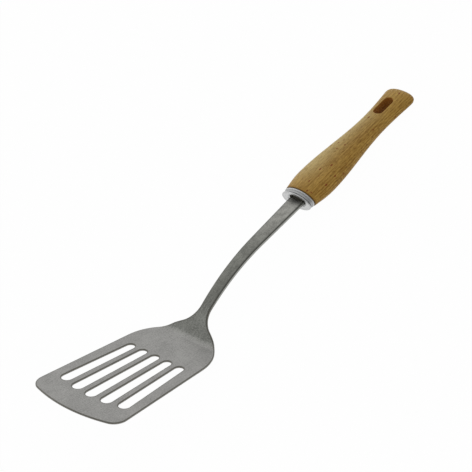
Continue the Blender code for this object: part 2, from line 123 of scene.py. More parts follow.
class Bench:
    """Adds linked nodes to one node tree."""

    ROW = 10
    COLUMN_WIDTH = 190.0
    ROW_HEIGHT = 320.0

    def __init__(self, tree: bpy.types.NodeTree) -> None:
        """Empties the tree and keeps it.

        Args:
            tree: The shader or geometry node tree to work on.
        """
        tree.nodes.clear()
        self.tree = tree

    def add(self, kind: str, inputs: dict[Any, Any] | None = None, **settings: Any) -> bpy.types.Node:
        """Adds one node.

        Args:
            kind: The node's type name.
            inputs: Values or sockets for its inputs, by name or number.
            **settings: Properties of the node, set before its inputs.

        Returns:
            The new node.
        """
        place = len(self.tree.nodes)
        node = self.tree.nodes.new(kind)
        node.location = (
            place % self.ROW * self.COLUMN_WIDTH,
            -(place // self.ROW) * self.ROW_HEIGHT,
        )
        for name, value in settings.items():
            setattr(node, name, value)
        for key, value in (inputs or {}).items():
            self.feed(node.inputs[key], value)
        return node

    def feed(self, socket: bpy.types.NodeSocket, value: Any) -> None:
        """Links a socket or a figure to an input, or sets the input's value.

        Args:
            socket: The input.
            value: A Figure, an output socket or a plain value.
        """
        if isinstance(value, Figure):
            value = value.socket
        if isinstance(value, bpy.types.NodeSocket):
            self.tree.links.new(value, socket)
        else:
            socket.default_value = value

    def math(self, operation: str, *values: Any) -> "Figure":
        """Works out one sum.

        Args:
            operation: The Math node's operation.
            *values: Its inputs, in order.

        Returns:
            The result.
        """
        node = self.add("ShaderNodeMath", dict(enumerate(values)), operation=operation)
        return Figure(self, node.outputs[0])

    def vector(self, x: Any, y: Any, z: Any) -> bpy.types.NodeSocket:
        """Returns the vector of three figures."""
        return self.add("ShaderNodeCombineXYZ", {0: x, 1: y, 2: z}).outputs[0]

    def parts(self, vector: bpy.types.NodeSocket) -> list["Figure"]:
        """Returns the x, y and z of a vector."""
        node = self.add("ShaderNodeSeparateXYZ", {0: vector})
        return [Figure(self, socket) for socket in node.outputs[:3]]

    def ramp(self, value: Any, low: Any, high: Any, start: Any = 0.0, end: Any = 1.0) -> "Figure":
        """Goes smoothly from start to end as the value goes from low to high.

        Args:
            value: The figure to follow.
            low: Where the ramp starts.
            high: Where it ends.
            start: The result at and before low.
            end: The result at and after high.

        Returns:
            The result.
        """
        node = self.add(
            "ShaderNodeMapRange",
            {0: value, 1: low, 2: high, 3: start, 4: end},
            interpolation_type="SMOOTHSTEP",
        )
        return Figure(self, node.outputs[0])

    def mix(self, first: Any, second: Any, share: Any) -> bpy.types.NodeSocket:
        """Mixes two colours.

        Args:
            first: The colour at share 0.
            second: The colour at share 1.
            share: How much of the second colour there is.

        Returns:
            The mixed colour.
        """
        paints = [(*c, 1.0) if isinstance(c, tuple) else c for c in (first, second)]
        node = self.add(
            "ShaderNodeMix", {0: share, 6: paints[0], 7: paints[1]}, data_type="RGBA"
        )
        return node.outputs[2]

    def coats(self, base: Any, *coats: tuple[Any, Any]) -> Any:
        """Lays coats of colour over a base.

        Args:
            base: The colour underneath.
            *coats: The colour and the share of each coat, in the order in which they are laid.

        Returns:
            The colour that shows.
        """
        for colour, share in coats:
            base = self.mix(base, colour, share)
        return base

    def scaled(self, place: Sequence[Any], sizes: float | Place) -> bpy.types.NodeSocket:
        """Counts a place in cells.

        Args:
            place: The x, y and z to count.
            sizes: The size of a cell, or its three sizes.

        Returns:
            The place in cells.
        """
        if isinstance(sizes, float):
            sizes = (sizes, sizes, sizes)
        x, y, z = [part * (1.0 / size) for part, size in zip(place, sizes)]
        return self.vector(x, y, z)

    def noise(self, vector: bpy.types.NodeSocket, detail: float, roughness: float) -> "Figure":
        """Returns cloudy noise with features about one unit wide, mostly from 0.3 to 0.7."""
        node = self.add(
            "ShaderNodeTexNoise",
            {"Vector": vector, "Scale": 1.0, "Detail": detail, "Roughness": roughness},
        )
        return Figure(self, node.outputs[0])

    def clouds(
        self, place: Sequence[Any], sizes: float | Place, detail: float, roughness: float
    ) -> "Figure":
        """Returns noise at a place, with features of the given size or three sizes."""
        return self.noise(self.scaled(place, sizes), detail, roughness)

    def scatter(self, place: Sequence[Any], sizes: Place, edge: Span, lots: Span) -> "Figure":
        """Scatters marks, at most one in each cell.

        Args:
            place: The x, y and z to read.
            sizes: The three sizes of a cell.
            edge: Distances from a mark's middle, in cells, where it starts and where it is full.
            lots: The lots, random from 0 to 1 for each cell, where marks start and are full.

        Returns:
            1 on a mark, falling to 0 round it.
        """
        node = self.add("ShaderNodeTexVoronoi", {"Vector": self.scaled(place, sizes), "Scale": 1.0})
        distance = Figure(self, node.outputs["Distance"])
        lot = self.parts(node.outputs["Color"])[0]
        return self.ramp(distance, *edge) * self.ramp(lot, *lots)

    def bump(
        self, height: Any, strength: float, distance: float, over: bpy.types.NodeSocket | None = None
    ) -> bpy.types.NodeSocket:
        """Raises a surface in its shading only.

        Args:
            height: The figure to follow.
            strength: How strongly it shows.
            distance: How far a height of 1 stands out, in metres.
            over: The normal to start from, or None for the surface's own.

        Returns:
            The new normal.
        """
        inputs = {"Height": height, "Strength": strength, "Distance": distance}
        if over is not None:
            inputs["Normal"] = over
        return self.add("ShaderNodeBump", inputs).outputs["Normal"]

    def mark_node(self, mark: Mark) -> bpy.types.Node:
        """Adds the node that reads what a mesh carries under a mark."""
        return self.add("ShaderNodeAttribute", attribute_name=mark.value, attribute_type="GEOMETRY")

    def marked(self, mark: Mark) -> "Figure":
        """Returns the number under a mark."""
        return Figure(self, self.mark_node(mark).outputs["Fac"])

    def marked_place(self, mark: Mark) -> list["Figure"]:
        """Returns the x, y and z under a mark."""
        return self.parts(self.mark_node(mark).outputs["Vector"])


class Figure:
    """A number that a node tree works out, with the usual arithmetic."""

    def __init__(self, bench: Bench, socket: bpy.types.NodeSocket) -> None:
        """Keeps the socket that holds the number.

        Args:
            bench: The bench whose tree the socket is in.
            socket: The output socket.
        """
        self.bench = bench
        self.socket = socket

    def __add__(self, other: Any) -> "Figure":
        """Returns self + other."""
        return self.bench.math("ADD", self, other)

    def __radd__(self, other: Any) -> "Figure":
        """Returns other + self."""
        return self.bench.math("ADD", other, self)

    def __sub__(self, other: Any) -> "Figure":
        """Returns self - other."""
        return self.bench.math("SUBTRACT", self, other)

    def __rsub__(self, other: Any) -> "Figure":
        """Returns other - self."""
        return self.bench.math("SUBTRACT", other, self)

    def __mul__(self, other: Any) -> "Figure":
        """Returns self * other."""
        return self.bench.math("MULTIPLY", self, other)

    def __rmul__(self, other: Any) -> "Figure":
        """Returns other * self."""
        return self.bench.math("MULTIPLY", other, self)

    def __truediv__(self, other: Any) -> "Figure":
        """Returns self / other."""
        return self.bench.math("DIVIDE", self, other)

    def __rtruediv__(self, other: Any) -> "Figure":
        """Returns other / self."""
        return self.bench.math("DIVIDE", other, self)

    def __pow__(self, other: Any) -> "Figure":
        """Returns self to a power."""
        return self.bench.math("POWER", self, other)

    def least(self, other: Any) -> "Figure":
        """Returns the smaller of self and other."""
        return self.bench.math("MINIMUM", self, other)

    def most(self, other: Any) -> "Figure":
        """Returns the larger of self and other."""
        return self.bench.math("MAXIMUM", self, other)

    def clamp(self) -> "Figure":
        """Returns self held between 0 and 1."""
        return self.most(0.0).least(1.0)

    def swing(self) -> "Figure":
        """Returns how far self, a noise, is above its middle value."""
        return self - 0.5

    def reckon(self, operation: str) -> "Figure":
        """Returns a one-input operation of the Math node on self, such as SQRT or FRACT."""
        return self.bench.math(operation, self)


class Recipe:
    """A geometry node tree with named inputs, which is run once on a mesh."""

    def __init__(self, name: str) -> None:
        """Makes an empty tree with a geometry output.

        Args:
            name: The tree's name.
        """
        self.tree = bpy.data.node_groups.new(name, "GeometryNodeTree")
        self.bench = Bench(self.tree)
        self.given = self.bench.add("NodeGroupInput")
        self.values: dict[str, Any] = {}
        self.tree.interface.new_socket("Result", in_out="OUTPUT", socket_type="NodeSocketGeometry")

    def geometry(self) -> bpy.types.NodeSocket:
        """Adds the geometry input and returns its socket."""
        self.tree.interface.new_socket("Geometry", in_out="INPUT", socket_type="NodeSocketGeometry")
        return self.given.outputs["Geometry"]

    def take(self, name: str, value: Any, kind: str = "NodeSocketFloat") -> Any:
        """Adds a named input.

        Args:
            name: What the input is called.
            value: What it is set to when the tree is run.
            kind: The socket's type.

        Returns:
            A figure for a number, or else the socket.
        """
        made = self.tree.interface.new_socket(name, in_out="INPUT", socket_type=kind)
        self.values[made.identifier] = value
        socket = self.given.outputs[name]
        return Figure(self.bench, socket) if kind in ("NodeSocketFloat", "NodeSocketInt") else socket

    def end(self, geometry: Any, material: Any) -> None:
        """Ends the tree in real geometry with one material.

        Args:
            geometry: The geometry to put out.
            material: The material's socket.
        """
        real = self.bench.add("GeometryNodeRealizeInstances", {0: geometry})
        dressed = self.bench.add(
            "GeometryNodeSetMaterial", {"Geometry": real.outputs[0], "Material": material}
        )
        self.bench.add("NodeGroupOutput", {0: dressed.outputs[0]})

    def run(self, obj: bpy.types.Object) -> None:
        """Runs the tree on an object, whose mesh becomes the result.

        Args:
            obj: The object.
        """
        modifier = obj.modifiers.new(self.tree.name, "NODES")
        modifier.node_group = self.tree
        for identifier, value in self.values.items():
            modifier[identifier] = value
        settle(obj)


def settle(obj: bpy.types.Object) -> None:
    """Makes an object's mesh what its modifiers show, and removes them.

    Args:
        obj: The object.
    """
    graph = bpy.context.evaluated_depsgraph_get()
    made = bpy.data.meshes.new_from_object(
        obj.evaluated_get(graph), preserve_all_data_layers=True, depsgraph=graph
    )
    obj.modifiers.clear()
    obj.data = made
    made.name = obj.name


def place_mesh(name: str, mesh: bpy.types.Mesh | None = None) -> bpy.types.Object:
    """Puts a new object in the scene.

    Args:
        name: The object's name.
        mesh: Its mesh, or None for an empty one.

    Returns:
        The object.
    """
    obj = bpy.data.objects.new(name, mesh or bpy.data.meshes.new(name))
    bpy.context.scene.collection.objects.link(obj)
    return obj


def oval_ring(wide: float, high: float, y: float, sides: int) -> list[Vector]:
    """Places points round an upright oval across the Y axis.

    Args:
        wide: Half the oval's width.
        high: Half its height.
        y: Its place along Y.
        sides: How many points it has.

    Returns:
        The points.
    """
    turns = [2.0 * math.pi * (i + 0.5) / sides for i in range(sides)]
    return [Vector((wide * math.cos(a), y, high * math.sin(a))) for a in turns]


def place_rings(name: str, rings: Sequence[Sequence[Vector]], closed: bool = False) -> bpy.types.Object:
    """Skins rings of equally many points.

    Args:
        name: The object's name.
        rings: The rings, in order.
        closed: True where the last ring joins the first one; otherwise both ends get a cap.

    Returns:
        The new object, with its faces turned outward.
    """
    bm = bmesh.new()
    loops = [[bm.verts.new(p) for p in ring] for ring in rings]
    for low, high in zip(loops, loops[1:] + (loops[:1] if closed else [])):
        for i in range(len(low)):
            j = (i + 1) % len(low)
            bm.faces.new((low[i], low[j], high[j], high[i]))
    if not closed:
        bm.faces.new(loops[0][::-1])
        bm.faces.new(loops[-1])
    bmesh.ops.recalc_face_normals(bm, faces=bm.faces)
    obj = place_mesh(name)
    bm.to_mesh(obj.data)
    bm.free()
    return obj


def use_tool(target: bpy.types.Object, tool: bpy.types.Object, cut: Cut) -> None:
    """Joins a tool solid to a piece or cuts it away, and removes the tool.

    Args:
        target: The piece.
        tool: The tool solid.
        cut: What the tool does.
    """
    modifier = target.modifiers.new(tool.name, "BOOLEAN")
    modifier.operation = cut.value
    modifier.solver = "EXACT"
    modifier.object = tool
    settle(target)
    bpy.data.objects.remove(tool, do_unlink=True)


def share_out(obj: bpy.types.Object, mark: Mark, values: np.ndarray) -> None:
    """Writes one number or vector for each point of a mesh.

    Args:
        obj: The object.
        mark: The attribute's name.
        values: The numbers, one row for each point.
    """
    vector = values.ndim == 2
    kind = "FLOAT_VECTOR" if vector else "FLOAT"
    layer = obj.data.attributes.new(mark.value, kind, "POINT")
    layer.data.foreach_set("vector" if vector else "value", values.astype(np.float32).ravel())


def points_of(obj: bpy.types.Object) -> np.ndarray:
    """Reads the points of a mesh.

    Args:
        obj: The object.

    Returns:
        The points, one row each.
    """
    flat = np.zeros(len(obj.data.vertices) * 3, np.float32)
    obj.data.vertices.foreach_get("co", flat)
    return flat.reshape(-1, 3).astype(float)


def shade(obj: bpy.types.Object, crease: float) -> None:
    """Shades a mesh smooth, apart from edges sharper than the crease angle in degrees."""
    obj.data.shade_smooth()
    obj.data.set_sharp_from_angle(angle=math.radians(crease))


def smooth_step(share: float) -> float:
    """Returns 0 to 1 with level ends."""
    share = min(max(share, 0.0), 1.0)
    return share * share * (3.0 - 2.0 * share)


def arc_points(centre: Vector, radius: float, start: float, end: float, step: float) -> list[Vector]:
    """Points on an arc.

    Args:
        centre: The arc's middle.
        radius: Its radius.
        start: Angle of the first point.
        end: Angle of the last point.
        step: Largest angle from point to point.

    Returns:
        The points, both ends included.
    """
    steps = max(2, math.ceil(abs(end - start) / step))
    angles = [start + (end - start) * i / steps for i in range(steps + 1)]
    return [centre + radius * Vector((math.cos(a), math.sin(a))) for a in angles]


def round_corners(corners: Sequence[tuple[Vector, float]], step: float) -> list[Vector]:
    """Replaces the inner corners of a line by tangent arcs.

    Args:
        corners: Each corner's point and radius.
        step: Largest angle from point to point of an arc.

    Returns:
        The rounded line. Where two arcs would meet, both shrink to the straight between them.
    """
    points = [Vector(point) for point, _ in corners]
    last = len(points) - 1
    reach = [0.0] * (last + 1)
    for i in range(1, last):
        turn = (points[i] - points[i - 1]).angle(points[i + 1] - points[i])
        reach[i] = corners[i][1] * math.tan(turn / 2.0)
    fit = [1.0] * (last + 1)
    for i in range(last):
        share = ARC_SHARE * (points[i + 1] - points[i]).length / max(reach[i] + reach[i + 1], TINY)
        fit[i] = min(fit[i], share)
        fit[i + 1] = min(fit[i + 1], share)
    path = [points[0]]
    for i in range(1, last):
        back = (points[i - 1] - points[i]).normalized()
        ahead = (points[i + 1] - points[i]).normalized()
        if not corners[i][1]:
            path.append(points[i])
            continue
        half_angle = back.angle(ahead) / 2.0
        length = reach[i] * min(fit[i], 1.0)
        radius = length * math.tan(half_angle)
        centre = points[i] + (back + ahead).normalized() * radius / math.sin(half_angle)
        start = points[i] + back * length - centre
        end = points[i] + ahead * length - centre
        first = math.atan2(start.y, start.x)
        path += arc_points(centre, radius, first, first - start.angle_signed(end), step)
    path.append(points[-1])
    return path


@dataclass(frozen=True)
class RestPose:
    """How the turner lies on a table, on its heel and its butt."""

    tilt: float = math.radians(22.61199)
    forward: float = -169.5963 * MM
    lift: float = 42.7950 * MM

    def matrix(self) -> Matrix:
        """Returns the turn and move from the blade's own frame to the table."""
        shift = Matrix.Translation((0.0, self.forward, self.lift))
        return shift @ Matrix.Rotation(-self.tilt, 4, "X")


@dataclass(frozen=True)
class SheetPath:
    """The formed sheet seen from the side: flat blade, heel bend, neck, arch, shank and tang.

    The widths of the shank's end and of the tang's end are here too, because the handle is bored
    to fit them.
    """

    blade_length: float = 106.3 * MM
    blade_thickness: float = 1.3 * MM
    heel_angle: float = math.radians(47.1)
    heel_radius: float = 8.0 * MM
    neck_straight: float = 0.6 * MM
    arch_radius: float = 155.6 * MM
    handle_slope: float = math.radians(19.1)
    shank_straight: float = 42.2 * MM
    shank_thickness: float = 2.4 * MM
    thickening: float = 38.0 * MM
    ferrule_length: float = 4.7 * MM
    tang_length: float = 62.0 * MM
    shank_end_width: float = 12.6 * MM
    tang_end_width: float = 8.0 * MM
    spacing: tuple[float, ...] = (0.4 * MM, 0.3 * MM, 0.8 * MM, 4.0 * MM)

    def pieces(self) -> list[tuple[float, float]]:
        """Returns the length and turn of each stretch of the sheet."""
        turn = self.handle_slope - self.heel_angle
        return [
            (self.blade_length, 0.0),
            (self.heel_radius * self.heel_angle, self.heel_angle),
            (self.neck_straight, 0.0),
            (self.arch_radius * abs(turn), turn),
            (self.shank_straight + self.ferrule_length + self.tang_length, 0.0),
        ]

    def length(self) -> float:
        """Returns the whole run from the tip to the tang's end."""
        return sum(length for length, _ in self.pieces())

    def ferrule_at(self) -> float:
        """Returns the run at which the sheet enters the ferrule."""
        return self.length() - self.tang_length - self.ferrule_length

    def at(self, run: float) -> tuple[Vector, float]:
        """Finds a place on the top face.

        Args:
            run: Distance along the sheet from the tip.

        Returns:
            The point as (y, z), and the slope of the sheet there.
        """
        point, slope = Vector((0.0, 0.0)), 0.0
        for length, turn in self.pieces():
            part = min(run, length)
            if not turn:
                point += part * Vector((math.cos(slope), math.sin(slope)))
            else:
                radius = length / turn
                after = slope + part / radius
                point += radius * Vector(
                    (math.sin(after) - math.sin(slope), math.cos(slope) - math.cos(after))
                )
                slope = after
            run -= part
            if run <= TINY:
                break
        return point, slope

    def thickness(self, run: float) -> float:
        """Returns the sheet's thickness at a run: the blade is rolled thinner than the shank."""
        growth = self.shank_thickness - self.blade_thickness
        return self.blade_thickness + growth * smooth_step((run - self.blade_length) / self.thickening)

    def formed(self, x: float, run: float, drop: float) -> Vector:
        """Bends one point of the flat blank.

        Args:
            x: Distance from the middle line.
            run: Distance from the tip along the sheet.
            drop: Depth below the top face.

        Returns:
            The point's place in the blade's frame.
        """
        point, slope = self.at(run)
        return Vector((x, point.x + drop * math.sin(slope), point.y - drop * math.cos(slope)))

    def stations(self) -> list[float]:
        """Finds where the cross lines go, close together where the sheet curves.

        Returns:
            The runs of the cross lines, from the end of the flat blade to the tang's end.
        """
        runs, start = [self.blade_length], self.blade_length
        for (length, _), step in zip(self.pieces()[1:], self.spacing):
            count = max(1, round(length / step))
            runs += [start + length * (i + 1) / count for i in range(count)]
            start += length
        return runs

    def handle_frame(self, rise: float) -> Matrix:
        """Finds the frame of the ferrule and the handle.

        Args:
            rise: How far the frame's origin is above the middle of the tang.

        Returns:
            Matrix with its origin where ferrule and wood meet, +Y along the handle.
        """
        point, slope = self.at(self.ferrule_at() + self.ferrule_length)
        up = rise - self.shank_thickness / 2.0
        origin = Vector((0.0, point.x - up * math.sin(slope), point.y + up * math.cos(slope)))
        return Matrix.Translation(origin) @ Matrix.Rotation(slope, 4, "X")


@dataclass(frozen=True)
class SatinSteel:
    """Stainless steel, brushed along the blank.

    The blade is satin and faintly cloudy, and the neck is speckled more deeply. The shank is darker
    and slightly crowned, and gets paler towards the ferrule; this darker-to-paler run is painted
    shade and painted light for how the shank's slope takes the light. The sheared walls are plain,
    and the rims of both faces are dark, partly from wear and partly from painted shade.
    """

    # Blade, neck, lower end of the shank in painted shade, its end by the ferrule in painted
    # light, and the dark of the clouds.
    face: Colour = (0.36, 0.356, 0.342)
    neck: Colour = (0.36, 0.366, 0.336)
    shank: Colour = (0.238, 0.241, 0.217)
    lit_shank_end: Colour = (0.375, 0.373, 0.345)
    shadow: Colour = (0.0, 0.0, 0.0)
    # Walls of the blade and of the shank, then the dark rims of the blade and of the shank, partly
    # wear and partly painted shade.
    sheared: Colour = (0.21, 0.20, 0.178)
    side: Colour = (0.35, 0.35, 0.325)
    rim_wear_and_shade: Colour = (0.11, 0.105, 0.09)
    shank_rim_wear_and_shade: Colour = (0.12, 0.121, 0.108)
    rim_share: float = 0.9
    # Clouds, flecks and streaks of the whole blank, and blotches of the shank.
    cloud_size: float = 16.0 * MM
    cloud_share: float = 0.22
    cloud_roughness: float = 0.12
    fleck_size: float = 0.9 * MM
    fleck_share: float = 0.43
    fleck_relief: float = 0.6
    streak_size: Place = (0.22 * MM, 9.0 * MM, 0.22 * MM)
    streak_share: float = 0.35
    streak_roughness: float = 0.16
    streak_depth: float = 0.004 * MM
    blotch_size: float = 5.0 * MM
    blotch_share: float = 0.42
    # Where their tone starts and is full, and how much it darkens the steel.
    tone_span: Span = (0.38, 0.62)
    tone_depth: float = 0.4
    neck_tone_depth: float = 0.54
    # Where the shank's looks and its painted light start, as shares of the run on which the sheet
    # thickens.
    forged_from: float = 0.6
    lit_end_from: float = 1.6
    lit_end_power: float = 1.5
    # Dullness and relief; the crown rounds the shank's top in its shading.
    roughness: float = 0.34
    wall_roughness: float = 0.1
    relief: float = 0.35
    crown: float = 0.22 * MM
    crown_half: float = 5.5 * MM

    def build(self, name: str, path: SheetPath) -> bpy.types.Material:
        """Builds the material.

        Args:
            name: The material's name.
            path: The sheet, whose looks change along its run.

        Returns:
            The material.
        """
        material, bench, shader = start_material(name)
        place = bench.marked_place(Mark.BLANK)
        across, along, _ = place
        rim = bench.marked(Mark.RIM)
        wall = bench.marked(Mark.WALL)
        clouds = bench.clouds(place, self.cloud_size, detail=3.0, roughness=0.6)
        flecks = bench.clouds(place, self.fleck_size, detail=2.0, roughness=0.6)
        streaks = bench.clouds(place, self.streak_size, detail=2.0, roughness=0.55)
        blotches = bench.clouds(place, self.blotch_size, detail=3.0, roughness=0.6)

        bend, thickening = path.blade_length, path.thickening
        bent = bench.ramp(along, bend, bend + path.heel_radius)
        forged = bench.ramp(along, bend + thickening * self.forged_from, bend + thickening)
        # The shank's end by the ferrule is painted paler: painted light.
        lit_end = bench.ramp(along, bend + thickening * self.lit_end_from, path.ferrule_at())
        tone = clouds * self.cloud_share + flecks * self.fleck_share + streaks * self.streak_share
        tone = bench.ramp(tone + blotches.swing() * forged * self.blotch_share, *self.tone_span)
        necked = bent * (1.0 - forged)
        depth = necked * (self.neck_tone_depth - self.tone_depth) + self.tone_depth
        paint = bench.coats(
            self.face,
            (self.neck, bent),
            # Painted shade on the lower shank, then painted light on its end by the ferrule.
            (self.shank, forged),
            (self.lit_shank_end, lit_end**self.lit_end_power),
            (self.shadow, (1.0 - tone) * depth),
            (bench.mix(self.sheared, self.side, forged), wall),
            # The rims are painted dark, partly as wear and partly as painted shade.
            (bench.mix(self.rim_wear_and_shade, self.shank_rim_wear_and_shade, forged), rim * self.rim_share),
        )
        bench.feed(shader.inputs["Base Color"], paint)

        dull = self.roughness + streaks.swing() * self.streak_roughness
        dull = dull + clouds.swing() * self.cloud_roughness + wall * self.wall_roughness
        bench.feed(shader.inputs["Roughness"], dull)
        shader.inputs["Metallic"].default_value = 1.0
        brushed = bench.bump(streaks + flecks * self.fleck_relief, self.relief, self.streak_depth)
        crowned = (across * (1.0 / self.crown_half)) ** 2.0 * forged * -1.0
        bench.feed(shader.inputs["Normal"], bench.bump(crowned, 1.0, self.crown, over=brushed))
        return material


@dataclass(frozen=True)
class TurnedMetal:
    """Pale turned metal of the ferrule, with fine lathe lines, soft scuffs and painted shade, darkest in
    the hollows.
    """

    face: Colour = (0.67, 0.675, 0.675)
    dull: Colour = (0.52, 0.525, 0.525)
    # Near-black painted shade for the ferrule's hollows and dimmed faces.
    recess_shade: Colour = (0.06, 0.06, 0.064)
    # Lathe lines and scuffs.
    line_pitch: float = 0.07 * MM
    line_share: float = 0.4
    line_roughness: float = 0.2
    line_depth: float = 0.003 * MM
    scuff_size: float = 1.4 * MM
    scuff_share: float = 0.6
    scuff_roughness: float = 0.15
    # Where their tone starts and is full, then dullness and relief.
    tone_span: Span = (0.35, 0.6)
    roughness: float = 0.36
    recess_roughness: float = 0.35
    relief: float = 0.4

    def build(self, name: str, frame: Matrix) -> bpy.types.Material:
        """Builds the material.

        Args:
            name: The material's name.
            frame: The ferrule's frame at rest, for lathe lines round its axis.

        Returns:
            The material.
        """
        material, bench, shader = start_material(name)
        place = own_place(bench, frame)
        x, y, z = place
        recess_shade = bench.marked(Mark.SHADE_AND_DULLNESS)
        ring = (x * x + z * z).reckon("SQRT")
        turned = bench.vector(ring / self.line_pitch, y / self.line_pitch, 0.0)
        lines = bench.noise(turned, detail=1.0, roughness=0.5)
        scuffs = bench.clouds(place, self.scuff_size, detail=3.0, roughness=0.6)
        tone = bench.ramp(scuffs * self.scuff_share + lines * self.line_share, *self.tone_span)
        # Each surface's mark lays painted shade in the near-black colour.
        paint = bench.coats(self.dull, (self.face, tone), (self.recess_shade, recess_shade))
        bench.feed(shader.inputs["Base Color"], paint)

        rough = self.roughness + lines.swing() * self.line_roughness
        rough = rough + scuffs.swing() * self.scuff_roughness + recess_shade * self.recess_roughness
        bench.feed(shader.inputs["Roughness"], rough)
        shader.inputs["Metallic"].default_value = 1.0
        bench.feed(shader.inputs["Normal"], bench.bump(lines, self.relief, self.line_depth))
        return material


@dataclass(frozen=True)
class WaxedBeech:
    """Waxed beech, with its grain along the handle.

    Growth rings run round a pith that is below and to one side. Fibres, pores, ray flecks and
    small red spots lie over them. The side away from the pith is paler, a painted sheen, and the
    underside is golden with painted bounce light. The wood is darker at its front rim, at the end
    of the butt and on the walls of the hanging slot. A dark painted shadow line lies along the
    ferrule, and the tenon is grey, partly as glue and partly as painted shade inside the ferrule.
    """

    early: Colour = (0.52, 0.315, 0.070)
    # Painted bounce light on the underside.
    underside_light: Colour = (0.68, 0.38, 0.085)
    late: Colour = (0.25, 0.112, 0.010)
    # A painted sheen, paler on the side away from the pith.
    painted_sheen: Colour = (0.60, 0.46, 0.19)
    pore: Colour = (0.16, 0.08, 0.012)
    fleck: Colour = (0.19, 0.085, 0.012)
    spot: Colour = (0.22, 0.045, 0.008)
    cut: Colour = (0.33, 0.12, 0.015)
    rim: Colour = (0.36, 0.19, 0.03)
    # A painted shadow line along the ferrule.
    joint_shadow: Colour = (0.12, 0.065, 0.014)
    # Grey for glue and painted shade on the tenon.
    glue_and_shade: Colour = (0.34, 0.32, 0.28)
    # Growth rings, which are weaker in some years.
    pith_side: float = 45.0 * MM
    pith_below: float = 50.0 * MM
    ring_width: float = 1.75 * MM
    ring_wander: float = 3.2 * MM
    wander_size: Place = (24.0 * MM, 95.0 * MM, 24.0 * MM)
    late_rise: Span = (0.35, 0.92)
    late_fall: Span = (0.94, 1.0)
    season_pace: float = 0.37
    season_span: Span = (0.3, 0.7)
    weakest_ring: float = 0.25
    ring_share: float = 0.62
    # Broad tone and fibres, and the darkness that all the wood has.
    tone_size: Place = (12.0 * MM, 48.0 * MM, 12.0 * MM)
    tone_share: float = 1.3
    fibre_size: Place = (0.62 * MM, 9.0 * MM, 0.62 * MM)
    fibre_share: float = 2.4
    even_share: float = 0.21
    # Painted sheen from side to side and along the handle, and painted bounce light on the
    # underside.
    sheen_span: Span = (10.5 * MM, -8.5 * MM)
    sheen_wander: float = 6.0 * MM
    sheen_front: Span = (0.0, 26.0 * MM)
    sheen_back: Span = (0.68, 0.82)
    sheen_least: float = 0.15
    sheen_share: float = 0.85
    underside_light_span: Span = (-0.5 * MM, -4.5 * MM)
    underside_light_share: float = 0.45
    # Pores, ray flecks and spots.
    pore_size: Place = (0.3 * MM, 4.0 * MM, 0.3 * MM)
    pore_span: Span = (0.54, 0.68)
    pore_share: float = 0.58
    fleck_size: Place = (0.8 * MM, 3.4 * MM, 5.0 * MM)
    fleck_wander: float = 2.0 * MM
    fleck_edge: Span = (0.36, 0.2)
    fleck_lots: Span = (0.2, 0.6)
    fleck_share: float = 0.6
    fleck_fade: float = 0.25
    spot_size: Place = (3.8 * MM, 6.5 * MM, 3.8 * MM)
    spot_edge: Span = (0.21, 0.14)
    spot_lots: Span = (0.36, 0.46)
    spot_share: float = 0.85
    # Front rim, end grain, wall of the slot, the painted shadow line along the ferrule, and glue
    # with painted shade on the tenon.
    rim_span: Span = (2.0 * MM, 0.8 * MM)
    end_span: Span = (1.6 * MM, 0.5 * MM)
    rim_share: float = 0.75
    cut_reach: float = 0.7
    cut_full: float = 0.05 * MM
    cut_share: float = 0.85
    joint_shadow_span: Span = (0.7 * MM, 0.35 * MM)
    joint_shadow_share: float = 0.8
    glue_and_shade_span: Span = (0.0, -0.2 * MM)
    # Dullness, shine and relief.
    roughness: float = 0.5
    pore_roughness: float = 0.12
    late_roughness: float = 0.05
    cut_roughness: float = 0.15
    shine: float = 0.2
    late_relief: float = 0.25
    pore_relief: float = 0.8
    fleck_relief: float = 0.4
    relief: float = 0.35
    grain_depth: float = 0.03 * MM

    def build(self, name: str, frame: Matrix, handle: "BeechHandle") -> bpy.types.Material:
        """Builds the material.

        Args:
            name: The material's name.
            frame: The handle's frame at rest, so that the grain runs along it.
            handle: The handle, for the cut walls of its slot.

        Returns:
            The material.
        """
        material, bench, shader = start_material(name)
        place = own_place(bench, frame)
        x, y, z = place
        wander = bench.clouds(place, self.wander_size, detail=2.0, roughness=0.45)
        tone = bench.clouds(place, self.tone_size, detail=3.0, roughness=0.55)
        fibres = bench.clouds(place, self.fibre_size, detail=2.0, roughness=0.6)
        pores = bench.clouds(place, self.pore_size, detail=1.0, roughness=0.5)
        pores = bench.ramp(pores, *self.pore_span)
        leaning = (x + wander * self.fleck_wander, y, z)
        flecks = bench.scatter(leaning, self.fleck_size, self.fleck_edge, self.fleck_lots)
        spots = bench.scatter(place, self.spot_size, self.spot_edge, self.spot_lots)
        late = self.late_share(bench, x, z, wander)
        # pale is a painted sheen on the side away from the pith.
        pale = self.sheen_share_at(bench, x + tone.swing() * self.sheen_wander, y, handle)
        wall = self.wall_share(bench, x, y, handle)
        end_from, end_to = [handle.length - depth for depth in self.end_span]
        rim = bench.ramp(y, *self.rim_span).most(bench.ramp(y, end_from, end_to))

        dark = late * self.ring_share + tone.swing() * self.tone_share
        dark = (dark + fibres.swing() * self.fibre_share + self.even_share).clamp()
        paint = bench.coats(
            self.early,
            (self.late, dark),
            # Painted sheen on the side away from the pith.
            (self.painted_sheen, pale * self.sheen_share),
            # Painted bounce light makes the underside golden.
            (self.underside_light, bench.ramp(z, *self.underside_light_span) * self.underside_light_share),
            (self.pore, pores * self.pore_share),
            (self.fleck, flecks * (self.fleck_share - pale * self.fleck_fade)),
            (self.spot, spots * self.spot_share),
            (self.rim, rim * self.rim_share),
            (self.cut, wall * self.cut_share),
            # Painted shadow line along the joint with the ferrule.
            (self.joint_shadow, bench.ramp(y, *self.joint_shadow_span) * self.joint_shadow_share),
            # The tenon is grey, partly glue and partly painted shade inside the ferrule.
            (self.glue_and_shade, bench.ramp(y, *self.glue_and_shade_span)),
        )
        bench.feed(shader.inputs["Base Color"], paint)

